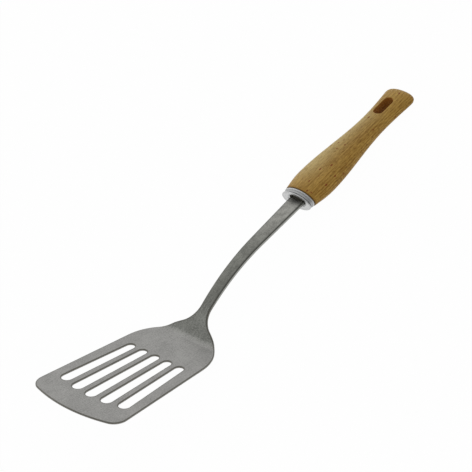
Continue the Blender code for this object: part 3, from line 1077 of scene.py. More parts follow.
        rough = self.roughness + pores * self.pore_roughness
        rough = rough + late * self.late_roughness + wall * self.cut_roughness
        bench.feed(shader.inputs["Roughness"], rough)
        shader.inputs["Specular IOR Level"].default_value = self.shine
        height = late * self.late_relief - pores * self.pore_relief - flecks * self.fleck_relief
        bench.feed(shader.inputs["Normal"], bench.bump(height, self.relief, self.grain_depth))
        return material

    def late_share(self, bench: Bench, x: Figure, z: Figure, wander: Figure) -> Figure:
        """Draws the growth rings.

        Args:
            bench: The bench of the material's tree.
            x: Place across the handle.
            z: Height in the handle.
            wander: Noise that the rings wander with.

        Returns:
            How much late wood there is, which is less in the rings of weak years.
        """
        ring = ((x - self.pith_side) ** 2.0 + (z + self.pith_below) ** 2.0).reckon("SQRT")
        ring = (ring + wander * self.ring_wander) / self.ring_width
        year = ring.reckon("FRACT")
        late = bench.ramp(year, *self.late_rise) - bench.ramp(year, *self.late_fall)
        pace = bench.vector(ring * self.season_pace, 0.0, 0.0)
        season = bench.noise(pace, detail=1.0, roughness=0.5)
        return late * bench.ramp(season, *self.season_span, self.weakest_ring, 1.0)

    def sheen_share_at(self, bench: Bench, x: Figure, y: Figure, handle: "BeechHandle") -> Figure:
        """Finds the paler side, which is a painted sheen.

        Args:
            bench: The bench of the material's tree.
            x: Place across the handle.
            y: Place along it.
            handle: The handle.

        Returns:
            1 on the painted sheen of the belly, and little at the front, at the butt and near the pith.
        """
        back_from, back_to = [handle.length * share for share in self.sheen_back]
        pale = bench.ramp(x, *self.sheen_span)
        pale = pale * bench.ramp(y, *self.sheen_front, self.sheen_least, 1.0)
        return pale * bench.ramp(y, back_from, back_to, 1.0, self.sheen_least)

    def wall_share(self, bench: Bench, x: Figure, y: Figure, handle: "BeechHandle") -> Figure:
        """Finds the wall of the hanging slot.

        Args:
            bench: The bench of the material's tree.
            x: Place across the handle.
            y: Place along it.
            handle: The handle.

        Returns:
            1 on the slot's wall, falling to 0 on the wood round it.
        """
        beyond = ((y - handle.slot_middle()).reckon("ABSOLUTE") - handle.slot_half_run()).most(0.0)
        distance = (x * x + beyond * beyond).reckon("SQRT") - handle.slot_width / 2.0
        return bench.ramp(distance, handle.slot_lip * self.cut_reach, self.cut_full)


def start_material(name: str) -> tuple[bpy.types.Material, Bench, bpy.types.Node]:
    """Makes a material with a Principled shader.

    Args:
        name: The material's name.

    Returns:
        The material, the bench of its tree, and the shader's node.
    """
    material = bpy.data.materials.new(name)
    material.use_nodes = True
    bench = Bench(material.node_tree)
    output = bench.add("ShaderNodeOutputMaterial")
    shader = bench.add("ShaderNodeBsdfPrincipled")
    bench.feed(output.inputs["Surface"], shader.outputs["BSDF"])
    return material, bench, shader


def own_place(bench: Bench, frame: Matrix) -> list[Figure]:
    """Reads the place on a piece in the piece's own frame.

    Args:
        bench: The bench of the material's tree.
        frame: The piece's frame at rest.

    Returns:
        The x, y and z there, in metres.
    """
    back = frame.inverted()
    coordinates = bench.add("ShaderNodeTexCoord").outputs["Object"]
    mapping = bench.add(
        "ShaderNodeMapping",
        {"Vector": coordinates, "Location": back.to_translation(), "Rotation": back.to_euler()},
    )
    return bench.parts(mapping.outputs["Vector"])


@dataclass(frozen=True)
class TurnerBlade:
    """Blade, neck, shank and tang, formed from one flat blank pierced with the drain slots."""

    path: SheetPath
    finish: SatinSteel = SatinSteel()
    # Outline of the blank, from the tip to the root of the shank.
    tip_width: float = 81.24 * MM
    heel_width: float = 67.5 * MM
    tip_arc_radius: float = 123.0 * MM
    tip_corner_radius: float = 9.7 * MM
    shoulder_setback: float = 6.8 * MM
    shoulder_radius: float = 31.5 * MM
    neck_width: float = 34.1 * MM
    neck_rise: float = 8.65 * MM
    neck_radius: float = 32.5 * MM
    root_width: float = 8.55 * MM
    root_rise: float = 16.85 * MM
    root_radius: float = 16.8 * MM
    # Rounded rims of the blade and of the shank.
    edge_round: float = 0.35 * MM
    shank_edge_round: float = 0.8 * MM
    # Border over which the rims' wear and painted shade fade.
    wear_and_shade_border: float = 0.6 * MM
    # Drain slots, and the punch that cuts them.
    slot_count: int = 5
    slot_tip_margin: float = 17.7 * MM
    slot_tip_arc_radius: float = 105.0 * MM
    slot_heel_margin: float = 25.9 * MM
    slot_tip_pitch: float = 13.55 * MM
    slot_heel_pitch: float = 11.2 * MM
    slot_tip_width: float = 8.5 * MM
    slot_heel_width: float = 6.7 * MM
    slot_sides: int = 72
    punch_depth: float = 20.0 * MM
    # Fineness of the outline, and how near it may come to the first cross line.
    arc_step: float = math.radians(4.0)
    tip_arc_steps: int = 24
    line_gap: float = 0.01 * MM
    # Where rims, level faces and walls begin, the rims' facets, and how soon their dark mark of
    # wear and painted shade fades.
    sharp_angle: float = math.radians(50.0)
    rim_segments: int = 4
    level_cosine: float = 0.99
    wall_from: float = 0.98
    wear_and_shade_fade: float = 2.6
    face_weight: int = 80

    def outline(self) -> list[Vector]:
        """Draws the right half of the flat blank.

        Returns:
            The points from the middle of the tip round to the tang's end, as (x, run).
        """
        path, big = self.path, self.tip_arc_radius
        heel = Vector((self.heel_width / 2.0, path.blade_length - self.shoulder_setback))
        half = self.tip_width / 2.0
        tip_side = Vector((half, big - math.sqrt(big**2 - half**2)))
        along = (heel - tip_side).normalized()
        inward = Vector((-along.y, along.x))
        arc_centre = Vector((0.0, big))
        # The corner's circle touches the side line and, from inside, the tip's arc.
        start = tip_side + inward * self.tip_corner_radius - arc_centre
        b = start.dot(along)
        c = start.length_squared - (big - self.tip_corner_radius) ** 2
        corner = arc_centre + start + along * (-b - math.sqrt(b * b - c))
        toward = corner - arc_centre
        touch = math.atan2(toward.y, toward.x)
        side = math.atan2(-inward.y, -inward.x)
        tip_arc = [
            arc_centre + big * Vector((math.cos(a), math.sin(a)))
            for a in np.linspace(-math.pi / 2.0, touch, self.tip_arc_steps + 1)
        ]
        corner_arc = arc_points(corner, self.tip_corner_radius, touch, side, self.arc_step)
        neck = round_corners(
            [
                (corner_arc[-1], 0.0),
                (heel, self.shoulder_radius),
                (Vector((self.neck_width / 2.0, path.blade_length + self.neck_rise)), self.neck_radius),
                (Vector((self.root_width / 2.0, path.blade_length + self.root_rise)), self.root_radius),
                (Vector((path.shank_end_width / 2.0, path.ferrule_at())), 0.0),
                (Vector((path.tang_end_width / 2.0, path.length())), 0.0),
            ],
            self.arc_step,
        )
        return tip_arc[:-1] + corner_arc[:-1] + neck

    def blank(self) -> bpy.types.Object:
        """Builds the flat blank without its slots.

        Returns:
            The blank, its top face at z = 0 and its run along +Y.
        """
        path, outline = self.path, self.outline()
        flat = [p for p in outline if p.y < path.blade_length - self.line_gap]
        past = [p for p in outline if p.y >= flat[-1].y]
        runs = path.stations()
        halves = np.interp(runs, [p.y for p in past], [p.x for p in past])
        bm = bmesh.new()
        layers = []
        for depth in (0.0, 1.0):
            def point(x: float, run: float) -> bmesh.types.BMVert:
                """Returns a new point of this layer."""
                return bm.verts.new((x, run, -depth * path.thickness(run)))

            rim = [point(p.x, p.y) for p in flat] + [point(-p.x, p.y) for p in flat[:0:-1]]
            right = [point(w, run) for w, run in zip(halves, runs)]
            left = [point(-w, run) for w, run in zip(halves, runs)]
            count = len(flat)
            bm.faces.new(rim[:count] + [right[0], left[0]] + rim[count:])
            for i in range(len(runs) - 1):
                bm.faces.new((right[i], right[i + 1], left[i + 1], left[i]))
            layers.append(rim[:count] + right + left[::-1] + rim[count:])
        top, under = layers
        for i in range(len(top)):
            j = (i + 1) % len(top)
            bm.faces.new((top[i], top[j], under[j], under[i]))
        bmesh.ops.recalc_face_normals(bm, faces=bm.faces)
        obj = place_mesh("turner_blade_steel")
        bm.to_mesh(obj.data)
        bm.free()
        return obj

    def slot_recipe(self, material: bpy.types.Material) -> Recipe:
        """Builds the node tree that pierces the fanned row of drain slots.

        Args:
            material: The steel.

        Returns:
            The recipe, to be run on the flat blank.
        """
        recipe = Recipe("drain_slots")
        bench = recipe.bench
        blank = recipe.geometry()
        count = recipe.take("Slot Count", self.slot_count, "NodeSocketInt")
        length = recipe.take("Blade Length", self.path.blade_length)
        tip_margin = recipe.take("Tip Margin", self.slot_tip_margin)
        tip_arc = recipe.take("Tip Arc Radius", self.slot_tip_arc_radius)
        heel_margin = recipe.take("Heel Margin", self.slot_heel_margin)
        tip_pitch = recipe.take("Tip Pitch", self.slot_tip_pitch)
        heel_pitch = recipe.take("Heel Pitch", self.slot_heel_pitch)
        tip_radius = recipe.take("Tip Radius", self.slot_tip_width / 2.0)
        heel_radius = recipe.take("Heel Radius", self.slot_heel_width / 2.0)
        sides = recipe.take("Sides", self.slot_sides, "NodeSocketInt")
        depth = recipe.take("Punch Depth", self.punch_depth)
        steel = recipe.take("Material", material, "NodeSocketMaterial")

        first = bench.add("GeometryNodeRepeatInput", {"Iterations": count})
        last = bench.add("GeometryNodeRepeatOutput")
        first.pair_with_output(last)
        place = Figure(bench, first.outputs["Iteration"]) - (count - 1.0) / 2.0
        tip_x = place * tip_pitch
        heel_x = place * heel_pitch
        tip_y = tip_margin + tip_arc - (tip_arc * tip_arc - tip_x * tip_x).reckon("SQRT")
        heel_y = length - heel_margin
        run = ((heel_x - tip_x) ** 2.0 + (heel_y - tip_y) ** 2.0).reckon("SQRT")
        lean_x = (heel_x - tip_x) / run
        lean_y = (heel_y - tip_y) / run
        ends = bench.add("GeometryNodeJoinGeometry")
        for radius, x, y in (
            (tip_radius, tip_x + lean_x * tip_radius, tip_y + lean_y * tip_radius),
            (heel_radius, heel_x - lean_x * heel_radius, heel_y - lean_y * heel_radius),
        ):
            drum = bench.add(
                "GeometryNodeMeshCylinder", {"Vertices": sides, "Radius": radius, "Depth": depth}
            )
            moved = bench.add(
                "GeometryNodeTransform",
                {"Geometry": drum.outputs["Mesh"], "Translation": bench.vector(x, y, 0.0)},
            )
            bench.feed(ends.inputs[0], moved.outputs[0])
        punch = bench.add("GeometryNodeConvexHull", {0: ends.outputs[0]})
        row = bench.add("GeometryNodeJoinGeometry")
        bench.feed(row.inputs[0], first.outputs["Geometry"])
        bench.feed(row.inputs[0], punch.outputs[0])
        bench.feed(last.inputs["Geometry"], row.outputs[0])
        pierced = bench.add(
            "GeometryNodeMeshBoolean",
            {"Mesh 1": blank, "Mesh 2": last.outputs["Geometry"]},
            operation="DIFFERENCE",
            solver="EXACT",
        )
        recipe.end(pierced.outputs[0], steel)
        return recipe

    def round_at(self, run: float) -> float:
        """Returns the radius of the sheet's rims at a run."""
        grown = smooth_step((run - self.path.blade_length) / self.path.thickening)
        return self.edge_round + (self.shank_edge_round - self.edge_round) * grown

    def soften_edges(self, obj: bpy.types.Object) -> None:
        """Rounds the rims of the flat, pierced blank, more on the shank than on the blade.

        Args:
            obj: The blank.
        """
        mesh = obj.data
        bm = bmesh.new()
        bm.from_mesh(mesh)
        layer = bm.edges.layers.float.new("bevel_weight_edge")
        for edge in bm.edges:
            if len(edge.link_faces) == 2 and edge.calc_face_angle() > self.sharp_angle:
                run = (edge.verts[0].co.y + edge.verts[1].co.y) / 2.0
                edge[layer] = self.round_at(run) / self.shank_edge_round
        bm.to_mesh(mesh)
        bm.free()
        modifier = obj.modifiers.new("edge_round", "BEVEL")
        modifier.limit_method = "WEIGHT"
        modifier.width = self.shank_edge_round
        modifier.segments = self.rim_segments
        settle(obj)

    def lay_border(self, obj: bpy.types.Object) -> None:
        """Insets a narrow border by the rims of both faces; marks the rims for wear and painted shade.

        The mark is full where a rim's rounding starts. It fades across the border on one side and
        down the rounding on the other.

        Args:
            obj: The blank with rounded rims.
        """
        bm = bmesh.new()
        bm.from_mesh(obj.data)
        bm.normal_update()
        level = [face for face in bm.faces if abs(face.normal.z) > self.level_cosine]
        bmesh.ops.inset_region(
            bm, faces=level, thickness=self.wear_and_shade_border, use_boundary=True, use_even_offset=True
        )
        shares = []
        for vertex in bm.verts:
            down = self.rounding_share(vertex.co.y, vertex.co.z)
            rounded = any(abs(face.normal.z) < self.level_cosine for face in vertex.link_faces)
            shares.append(min(1.0, self.wear_and_shade_fade * (1.0 - down)) if rounded else 0.0)
        bm.to_mesh(obj.data)
        bm.free()
        share_out(obj, Mark.RIM, np.array(shares))

    def rounding_share(self, run: float, height: float) -> float:
        """Finds how far down a rim's rounding a point is.

        Args:
            run: The point's run along the sheet.
            height: Its height in the flat blank, 0 on the top face and less below it.

        Returns:
            0 on either face, 1 on the wall.
        """
        thick = self.path.thickness(run)
        below = min(max(-height, 0.0), thick)
        return min(1.0, min(below, thick - below) / self.round_at(run))

    def form(self, obj: bpy.types.Object, pose: Matrix) -> None:
        """Bends the flat blank to shape and lays it down.

        Args:
            obj: The blank.
            pose: The turner's rest pose.
        """
        path = self.path
        flat = points_of(obj)
        thick = np.array([path.thickness(y) for y in flat[:, 1]])
        below = np.clip(-flat[:, 2], 0.0, thick)
        wall = np.array([float(self.rounding_share(y, z) > self.wall_from) for _, y, z in flat])
        share_out(obj, Mark.BLANK, flat)
        share_out(obj, Mark.WALL, wall)
        for vertex, (x, y, _), drop in zip(obj.data.vertices, flat.tolist(), below.tolist()):
            vertex.co = pose @ path.formed(x, y, drop)
        obj.data.update()

    def build(self, pose: Matrix) -> bpy.types.Object:
        """Builds and dresses the steel.

        Args:
            pose: The turner's rest pose.

        Returns:
            The piece.
        """
        steel = self.finish.build("satin_steel", self.path)
        obj = self.blank()
        self.slot_recipe(steel).run(obj)
        self.soften_edges(obj)
        self.lay_border(obj)
        self.form(obj, pose)
        obj.data.shade_smooth()
        weighted = obj.modifiers.new("level_faces", "WEIGHTED_NORMAL")
        weighted.weight = self.face_weight
        settle(obj)
        return obj


@dataclass(frozen=True)
class ShadeAndDullness:
    """Painted shade and dullness of each ferrule surface, from 0 for bright metal to 1 for the darkest
    hollow.
    """

    front: float = 0.06
    front_round: float = 0.15
    flange: float = 0.2
    flange_edge: float = 0.3
    groove: float = 1.0
    band_edge: float = 0.8
    band: float = 0.36
    bead_foot: float = 1.0
    bead: float = 0.2
    rear: float = 0.6
    hollow: float = 0.5
    throat: float = 0.1
    mouth: float = 0.0
    mouth_rim: float = 0.05


@dataclass(frozen=True)
class OvalFerrule:
    """Oval cap over the tenon, with a flange, a groove, a band, a rear bead and a hollow back.

    Its front is dished round an oval mouth, which narrows to a throat round the tang.
    """

    finish: TurnedMetal = TurnedMetal()
    shade_and_dullness: ShadeAndDullness = ShadeAndDullness()
    # Outside, from the front flange to the rear bead.
    length: float = 4.7 * MM
    flange_width: float = 25.6 * MM
    flange_height: float = 14.0 * MM
    flange_thickness: float = 0.9 * MM
    flange_round: float = 0.35 * MM
    rear_width: float = 25.9 * MM
    rear_height: float = 15.0 * MM
    # Front plate, hollow back, groove and bead.
    plate: float = 1.7 * MM
    wall: float = 1.5 * MM
    groove_width: float = 0.45 * MM
    groove_depth: float = 0.6 * MM
    bead_length: float = 1.3 * MM
    bead_step: float = 0.3 * MM
    # Dished front and the opening for the tang.
    mouth_rim: float = 1.1 * MM
    mouth_depth: float = 0.7 * MM
    opening_width: float = 16.8 * MM
    opening_height: float = 8.8 * MM
    throat_width: float = 14.6 * MM
    throat_height: float = 7.2 * MM
    opening_round: float = 0.2 * MM
    lip: float = 0.1 * MM
    rim_dip: float = 0.06 * MM
    seat_clearance: float = 0.3 * MM
    # Fineness of the sweep.
    sides: int = 144
    round_steps: int = 5

    def outer(self, y: float, inset: float) -> tuple[float, float]:
        """Finds the size of the outer oval, or of one a step inside it.

        Args:
            y: Place along the axis.
            inset: How far inside the outer line the oval lies.

        Returns:
            The oval's half width and half height.
        """
        share = (y + self.length) / self.length
        width = self.flange_width + (self.rear_width - self.flange_width) * share
        height = self.flange_height + (self.rear_height - self.flange_height) * share
        return width / 2.0 - inset, height / 2.0 - inset

    def hollow(self) -> tuple[float, float]:
        """Returns the half width and half height of the hollow back."""
        return self.flange_width / 2.0 - self.wall, self.flange_height / 2.0 - self.wall

    def quarter(self, turn: Callable[[float], tuple[float, float]]) -> list[tuple[float, float]]:
        """Returns the points of a quarter round, from the angle's start to its end."""
        steps = self.round_steps
        return [turn(math.pi / 2.0 * i / steps) for i in range(steps + 1)]

    def outside(self) -> list[tuple[float, float, float]]:
        """Draws the outside's profile.

        Returns:
            The place along the axis, inset, and painted shade and dullness of each line, front to rear.
        """
        front, rear = -self.length, -self.seat_clearance
        flange_end = front + self.flange_thickness
        groove_end = flange_end + self.groove_width
        bead_start = rear - self.bead_length
        # dull holds each surface's painted shade and dullness.
        r, b, lip, dull = self.flange_round, self.bead_step, self.lip, self.shade_and_dullness
        front_round = self.quarter(lambda a: (front + r - r * math.cos(a), r - r * math.sin(a)))
        bead_front = self.quarter(lambda a: (bead_start + b - b * math.cos(a), b - b * math.sin(a)))
        bead_rear = self.quarter(lambda a: (rear - b + b * math.sin(a), b - b * math.cos(a)))
        return [
            *((y, inset, dull.front_round) for y, inset in front_round),
            (flange_end - lip, 0.0, dull.flange),
            (flange_end, lip, dull.flange_edge),
            (flange_end, self.groove_depth, dull.groove),
            (groove_end, self.groove_depth, dull.groove),
            (groove_end, b + lip, dull.band_edge),
            (groove_end + lip, b, dull.band),
            (bead_start - lip, b, dull.band),
            (bead_start, b, dull.bead_foot),
            *((y, inset, dull.bead) for y, inset in bead_front[1:] + bead_rear),
        ]

    def build(self, frame: Matrix) -> bpy.types.Object:
        """Builds and dresses the ferrule as one closed sweep round its oval.

        Args:
            frame: The ferrule's frame at rest.

        Returns:
            The piece.
        """
        front, rear = -self.length, -self.seat_clearance
        back_of_plate = front + self.plate
        narrow = front + self.mouth_depth
        wide, high = self.opening_width / 2.0, self.opening_height / 2.0
        # dull holds each surface's painted shade and dullness.
        r, dull = self.opening_round, self.shade_and_dullness
        hollow = self.hollow()
        mouth = self.outer(front, self.mouth_rim)
        throat_round = zip(
            self.quarter(lambda a: (narrow + r - r * math.sin(a), r - r * math.cos(a))),
            np.linspace(dull.throat, dull.mouth, self.round_steps + 1),
        )
        stations = [
            *((*self.outer(y, inset), y, share) for y, inset, share in self.outside()),
            (*hollow, rear, dull.rear),
            (*hollow, back_of_plate, dull.hollow),
            (self.throat_width / 2.0, self.throat_height / 2.0, back_of_plate, dull.throat),
            *((wide + grow, high + grow, y, share) for (y, grow), share in throat_round),
            (mouth[0] - r, mouth[1] - r, front + self.rim_dip, dull.mouth_rim),
            (mouth[0] + r, mouth[1] + r, front, dull.front),
        ]
        rings = [[frame @ p for p in oval_ring(*size, self.sides)] for *size, _ in stations]
        obj = place_rings("ferrule_cap", rings, closed=True)
        # Each ring carries its painted shade and dullness.
        share_out(obj, Mark.SHADE_AND_DULLNESS, np.repeat([share for *_, share in stations], self.sides))
        obj.data.materials.append(self.finish.build("turned_metal", frame))
        shade(obj, CREASE)
        return obj


@dataclass(frozen=True)
class Station:
    """One named width or height of the handle, and how steeply it grows there."""

    at: Any
    value: Any
    slope: Any


@dataclass(frozen=True)
class BeechHandle:
    """Beech handle: tenon, belly, waist and flared butt, bored for the tang, slotted to hang up."""

    ferrule: OvalFerrule
    path: SheetPath
    finish: WaxedBeech = WaxedBeech()
    # Body: its length, its height on the tang and its sag.
    length: float = 114.3 * MM
    rise: float = 0.35 * MM
    sag: float = 0.45 * MM
    # Widths and heights along it, from the front to the butt.
    front_width: float = 26.4 * MM
    front_swell: float = 0.37
    front_height: float = 15.3 * MM
    front_thickening: float = 0.2
    belly_at: float = 15.8 * MM
    belly_width: float = 31.1 * MM
    thickest_at: float = 26.0 * MM
    belly_height: float = 17.2 * MM
    waist_to_butt: float = 35.9 * MM
    waist_width: float = 19.15 * MM
    waist_height: float = 13.2 * MM
    butt_width: float = 25.6 * MM
    butt_flare: float = 0.245
    butt_height: float = 10.8 * MM
    # Rounded butt, seen from above and from the side, and front edge.
    butt_round: float = 7.5 * MM
    butt_power: float = 2.6
    butt_edge_round: float = 9.0 * MM
    butt_edge_power: float = 2.0
    butt_trim: float = 0.447 * MM
    front_edge_round: float = 0.6 * MM
    # Tenon, socket and hanging slot.
    tenon_length: float = 2.0 * MM
    tenon_chamfer: float = 0.3 * MM
    tang_clearance: float = 0.3 * MM
    slot_length: float = 17.2 * MM
    slot_width: float = 7.4 * MM
    slot_to_butt: float = 13.2 * MM
    slot_lip: float = 0.7 * MM
    lip_turns: tuple[float, ...] = tuple(math.radians(a) for a in (0.0, 18.0, 36.0, 54.0, 72.0))
    lip_overrun: float = 0.6
    slot_arc_step: float = math.radians(5.0)
    # Fineness of the body, and reach of its tools.
    sides: int = 128
    sections: int = 170
    merge_distance: float = 0.002 * MM
    tool_reach: float = 20.0 * MM

    def slot_middle(self) -> float:
        """Returns the distance from the wood's front to the middle of the hanging slot."""
        return self.length - self.slot_to_butt - self.slot_length / 2.0

    def slot_half_run(self) -> float:
        """Returns half the distance between the middles of the slot's round ends."""
        return (self.slot_length - self.slot_width) / 2.0

    def body_recipe(self, material: bpy.types.Material) -> Recipe:
        """Builds the node tree whose rule shapes the handle's body.

        The section is an oval. Its width and height follow smooth curves through named stations,
        both close on rounded curves at the butt, and the middle line sags a little.

        Args:
            material: The wood.

        Returns:
            The recipe, to be run on an empty mesh.
        """
        recipe = Recipe("handle_body")
        bench = recipe.bench
        take = recipe.take
        length = take("Length", self.length)
        waist = length - take("Waist To Butt", self.waist_to_butt)
        waist_height = take("Waist Height", self.waist_height)
        butt_height = take("Butt Height", self.butt_height)
        swell = take("Front Swell", self.front_swell)
        thinning = (butt_height - waist_height) / (length - waist)
        widths = [
            Station(0.0, take("Front Width", self.front_width), swell),
            Station(take("Belly At", self.belly_at), take("Belly Width", self.belly_width), 0.0),
            Station(waist, take("Waist Width", self.waist_width), 0.0),
            Station(length, take("Butt Width", self.butt_width), take("Butt Flare", self.butt_flare)),
        ]
        heights = [
            Station(
                0.0,
                take("Front Height", self.front_height),
                take("Front Thickening", self.front_thickening),
            ),
            Station(take("Thickest At", self.thickest_at), take("Belly Height", self.belly_height), 0.0),
            Station(waist, waist_height, thinning),
            Station(length, butt_height, thinning),
        ]
        rounds = [
            (take("Butt Round", self.butt_round), take("Butt Power", self.butt_power)),
            (take("Butt Edge Round", self.butt_edge_round), take("Butt Edge Power", self.butt_edge_power)),
        ]
        trim = take("Butt Trim", self.butt_trim)
        front_round = take("Front Edge Round", self.front_edge_round)
        sag = take("Sag", self.sag)
        sides = take("Sides", self.sides, "NodeSocketInt")
        sections = take("Sections", self.sections, "NodeSocketInt")
        merge_distance = take("Merge Distance", self.merge_distance)
        wood = take("Material", material, "NodeSocketMaterial")

        line = bench.add("GeometryNodeMeshLine", {"Count": sections, "Offset": (0.0, 1.0, 0.0)})
        spine = bench.add("GeometryNodeMeshToCurve", {"Mesh": line.outputs[0]})
        hoop = bench.add("GeometryNodeCurvePrimitiveCircle", {"Resolution": sides, "Radius": 1.0})
        tube = bench.add(
            "GeometryNodeCurveToMesh",
            {"Curve": spine.outputs[0], "Profile Curve": hoop.outputs["Curve"], "Fill Caps": True},
        )
        x, y, z = bench.parts(bench.add("GeometryNodeInputPosition").outputs[0])
        share = y / (sections - 1.0)
        at = length * (1.0 - (share * math.pi).reckon("COSINE")) / 2.0
        front = (1.0 - at / front_round).most(0.0) ** 2.0 * front_round
        halves = []
        for stations, (reach, power) in zip((widths, heights), rounds):
            near = ((at - (length - reach)) / reach).clamp()
            close = (1.0 - near**power).most(0.0) ** (1.0 / power)
            halves.append((follow(stations, at) / 2.0 - front) * close)
        # The sag is a parabola, deepest half way along.
        run = at / length
        middle = sag * run * (1.0 - run) * -4.0
        edge_round, _ = rounds[1]
        trimmed = at - ((at - (length - edge_round)) / edge_round).clamp() ** 2.0 * trim
        place = bench.vector(x * halves[0], trimmed, z * halves[1] + middle)
        shaped = bench.add(
            "GeometryNodeSetPosition", {"Geometry": tube.outputs[0], "Position": place}
        )
        merged = bench.add(
            "GeometryNodeMergeByDistance",
            {"Geometry": shaped.outputs[0], "Distance": merge_distance},
        )
        recipe.end(merged.outputs[0], wood)
        return recipe

    def tenon(self) -> bpy.types.Object:
        """Builds the oval tenon that the ferrule's hollow back fits over.

        Returns:
            The tool that joins it to the wood.
        """
        wide, high = self.ferrule.hollow()
        wide -= self.ferrule.seat_clearance
        high -= self.ferrule.seat_clearance
        stations = [
            (wide - self.tenon_chamfer, high - self.tenon_chamfer, -self.tenon_length),
            (wide, high, self.tenon_chamfer - self.tenon_length),
            (wide, high, self.tenon_length),
        ]
        return place_rings("tenon", [oval_ring(*station, self.sides) for station in stations])

    def tang_socket(self) -> bpy.types.Object:
        """Builds the tool that bores the tapered socket, wider than the tang by its clearance.

        Returns:
            The tool.
        """
        half_height = self.path.shank_thickness / 2.0 + self.tang_clearance
        stations = [
            (-self.tool_reach, self.path.shank_end_width),
            (-self.ferrule.length, self.path.shank_end_width),
            (self.path.tang_length + self.tang_clearance, self.path.tang_end_width),
        ]
        signs = ((1, 1), (-1, 1), (-1, -1), (1, -1))
        rings = []
        for y, width in stations:
            half_width = width / 2.0 + self.tang_clearance
            rings.append([Vector((i * half_width, y, k * half_height - self.rise)) for i, k in signs])
        return place_rings("tang_socket", rings)

    def slot_tool(self, body: bpy.types.Object) -> bpy.types.Object:
        """Shapes the tool of the hanging slot, whose lips roll over along the wood's own surface.

        Args:
            body: The handle's body, which the lips follow.

        Returns:
            The tool.
        """
        surface = BVHTree.FromObject(body, bpy.context.evaluated_depsgraph_get())

        def level(x: float, y: float, side: float) -> float:
            """Returns the height of the wood's top (side 1) or underside (side -1)."""
            start = Vector((x, y, side * self.tool_reach))
            return surface.ray_cast(start, Vector((0.0, 0.0, -side)))[0].z

        def outline(grow: float) -> list[Vector]:
            """Draws the slot's outline, grown on every side.

            Args:
                grow: By how much.

            Returns:
                The points, as (x, y).
            """
            radius = self.slot_width / 2.0 + grow
            ends = []
            for sign, first in ((-1.0, math.pi), (1.0, 0.0)):
                centre = Vector((0.0, self.slot_middle() + sign * self.slot_half_run()))
                ends += arc_points(centre, radius, first, first + math.pi, self.slot_arc_step)
            return ends

        r = self.slot_lip
        profile = [(r - r * math.cos(a), r * math.sin(a) - r) for a in self.lip_turns]
        grow, height = profile[-1]
        turn, overrun = self.lip_turns[-1], self.lip_overrun * r
        profile.append((grow + overrun * math.sin(turn), height + overrun * math.cos(turn)))
        rings = []
        for side, order in ((-1.0, profile[::-1]), (1.0, profile)):
            lip = [
                [Vector((p.x, p.y, level(p.x, p.y, side) + side * height)) for p in outline(grow)]
                for grow, height in order
            ]
            end = [Vector((p.x, p.y, side * self.tool_reach)) for p in outline(profile[-1][0])]
            rings += [end] + lip if side < 0 else lip + [end]
        return place_rings("hanging_slot", rings)

    def build(self, frame: Matrix) -> bpy.types.Object:
        """Builds and dresses the handle.

        Args:
            frame: The handle's frame at rest.

        Returns:
            The piece.
        """
        wood = self.finish.build("waxed_beech", frame, self)
        obj = place_mesh("beech_handle")
        self.body_recipe(wood).run(obj)
        slot = self.slot_tool(obj)
        use_tool(obj, self.tenon(), Cut.JOIN)
        use_tool(obj, self.tang_socket(), Cut.AWAY)
        use_tool(obj, slot, Cut.AWAY)
        obj.data.transform(frame)
        obj.data.materials.clear()
        obj.data.materials.append(wood)
        shade(obj, CREASE)
        return obj


def follow(stations: Sequence[Station], at: Figure) -> Figure:
    """Follows a smooth curve through stations.

    Args:
        stations: Places with a value and a slope each, in order.
        at: The place to read.

    Returns:
        The value there.
    """
    total = stations[0].value
    for start, end in zip(stations, stations[1:]):
        span = end.at - start.at
        t = ((at - start.at) / span).clamp()
        rest = 1.0 - t
        rise = (end.value - start.value) * t * t * (3.0 - 2.0 * t)
        swell = span * t * rest * (rest * start.slope - t * end.slope)
        total = total + rise + swell
    return total


@dataclass(frozen=True)
class Softbox:
    """A soft lamp that looks at the turner."""

    name: str
    at: Place
    width: float
    height: float
    power: float

    def hang(self) -> None:
        """Hangs the lamp in the scene."""
        data = bpy.data.lights.new(self.name, "AREA")
        data.shape = "RECTANGLE"
        data.size, data.size_y = self.width, self.height
        data.energy = self.power
        lamp = bpy.data.objects.new(self.name, data)
        lamp.location = self.at
        lamp.rotation_euler = (-Vector(self.at)).to_track_quat("-Z", "Y").to_euler()
        bpy.context.scene.collection.objects.link(lamp)


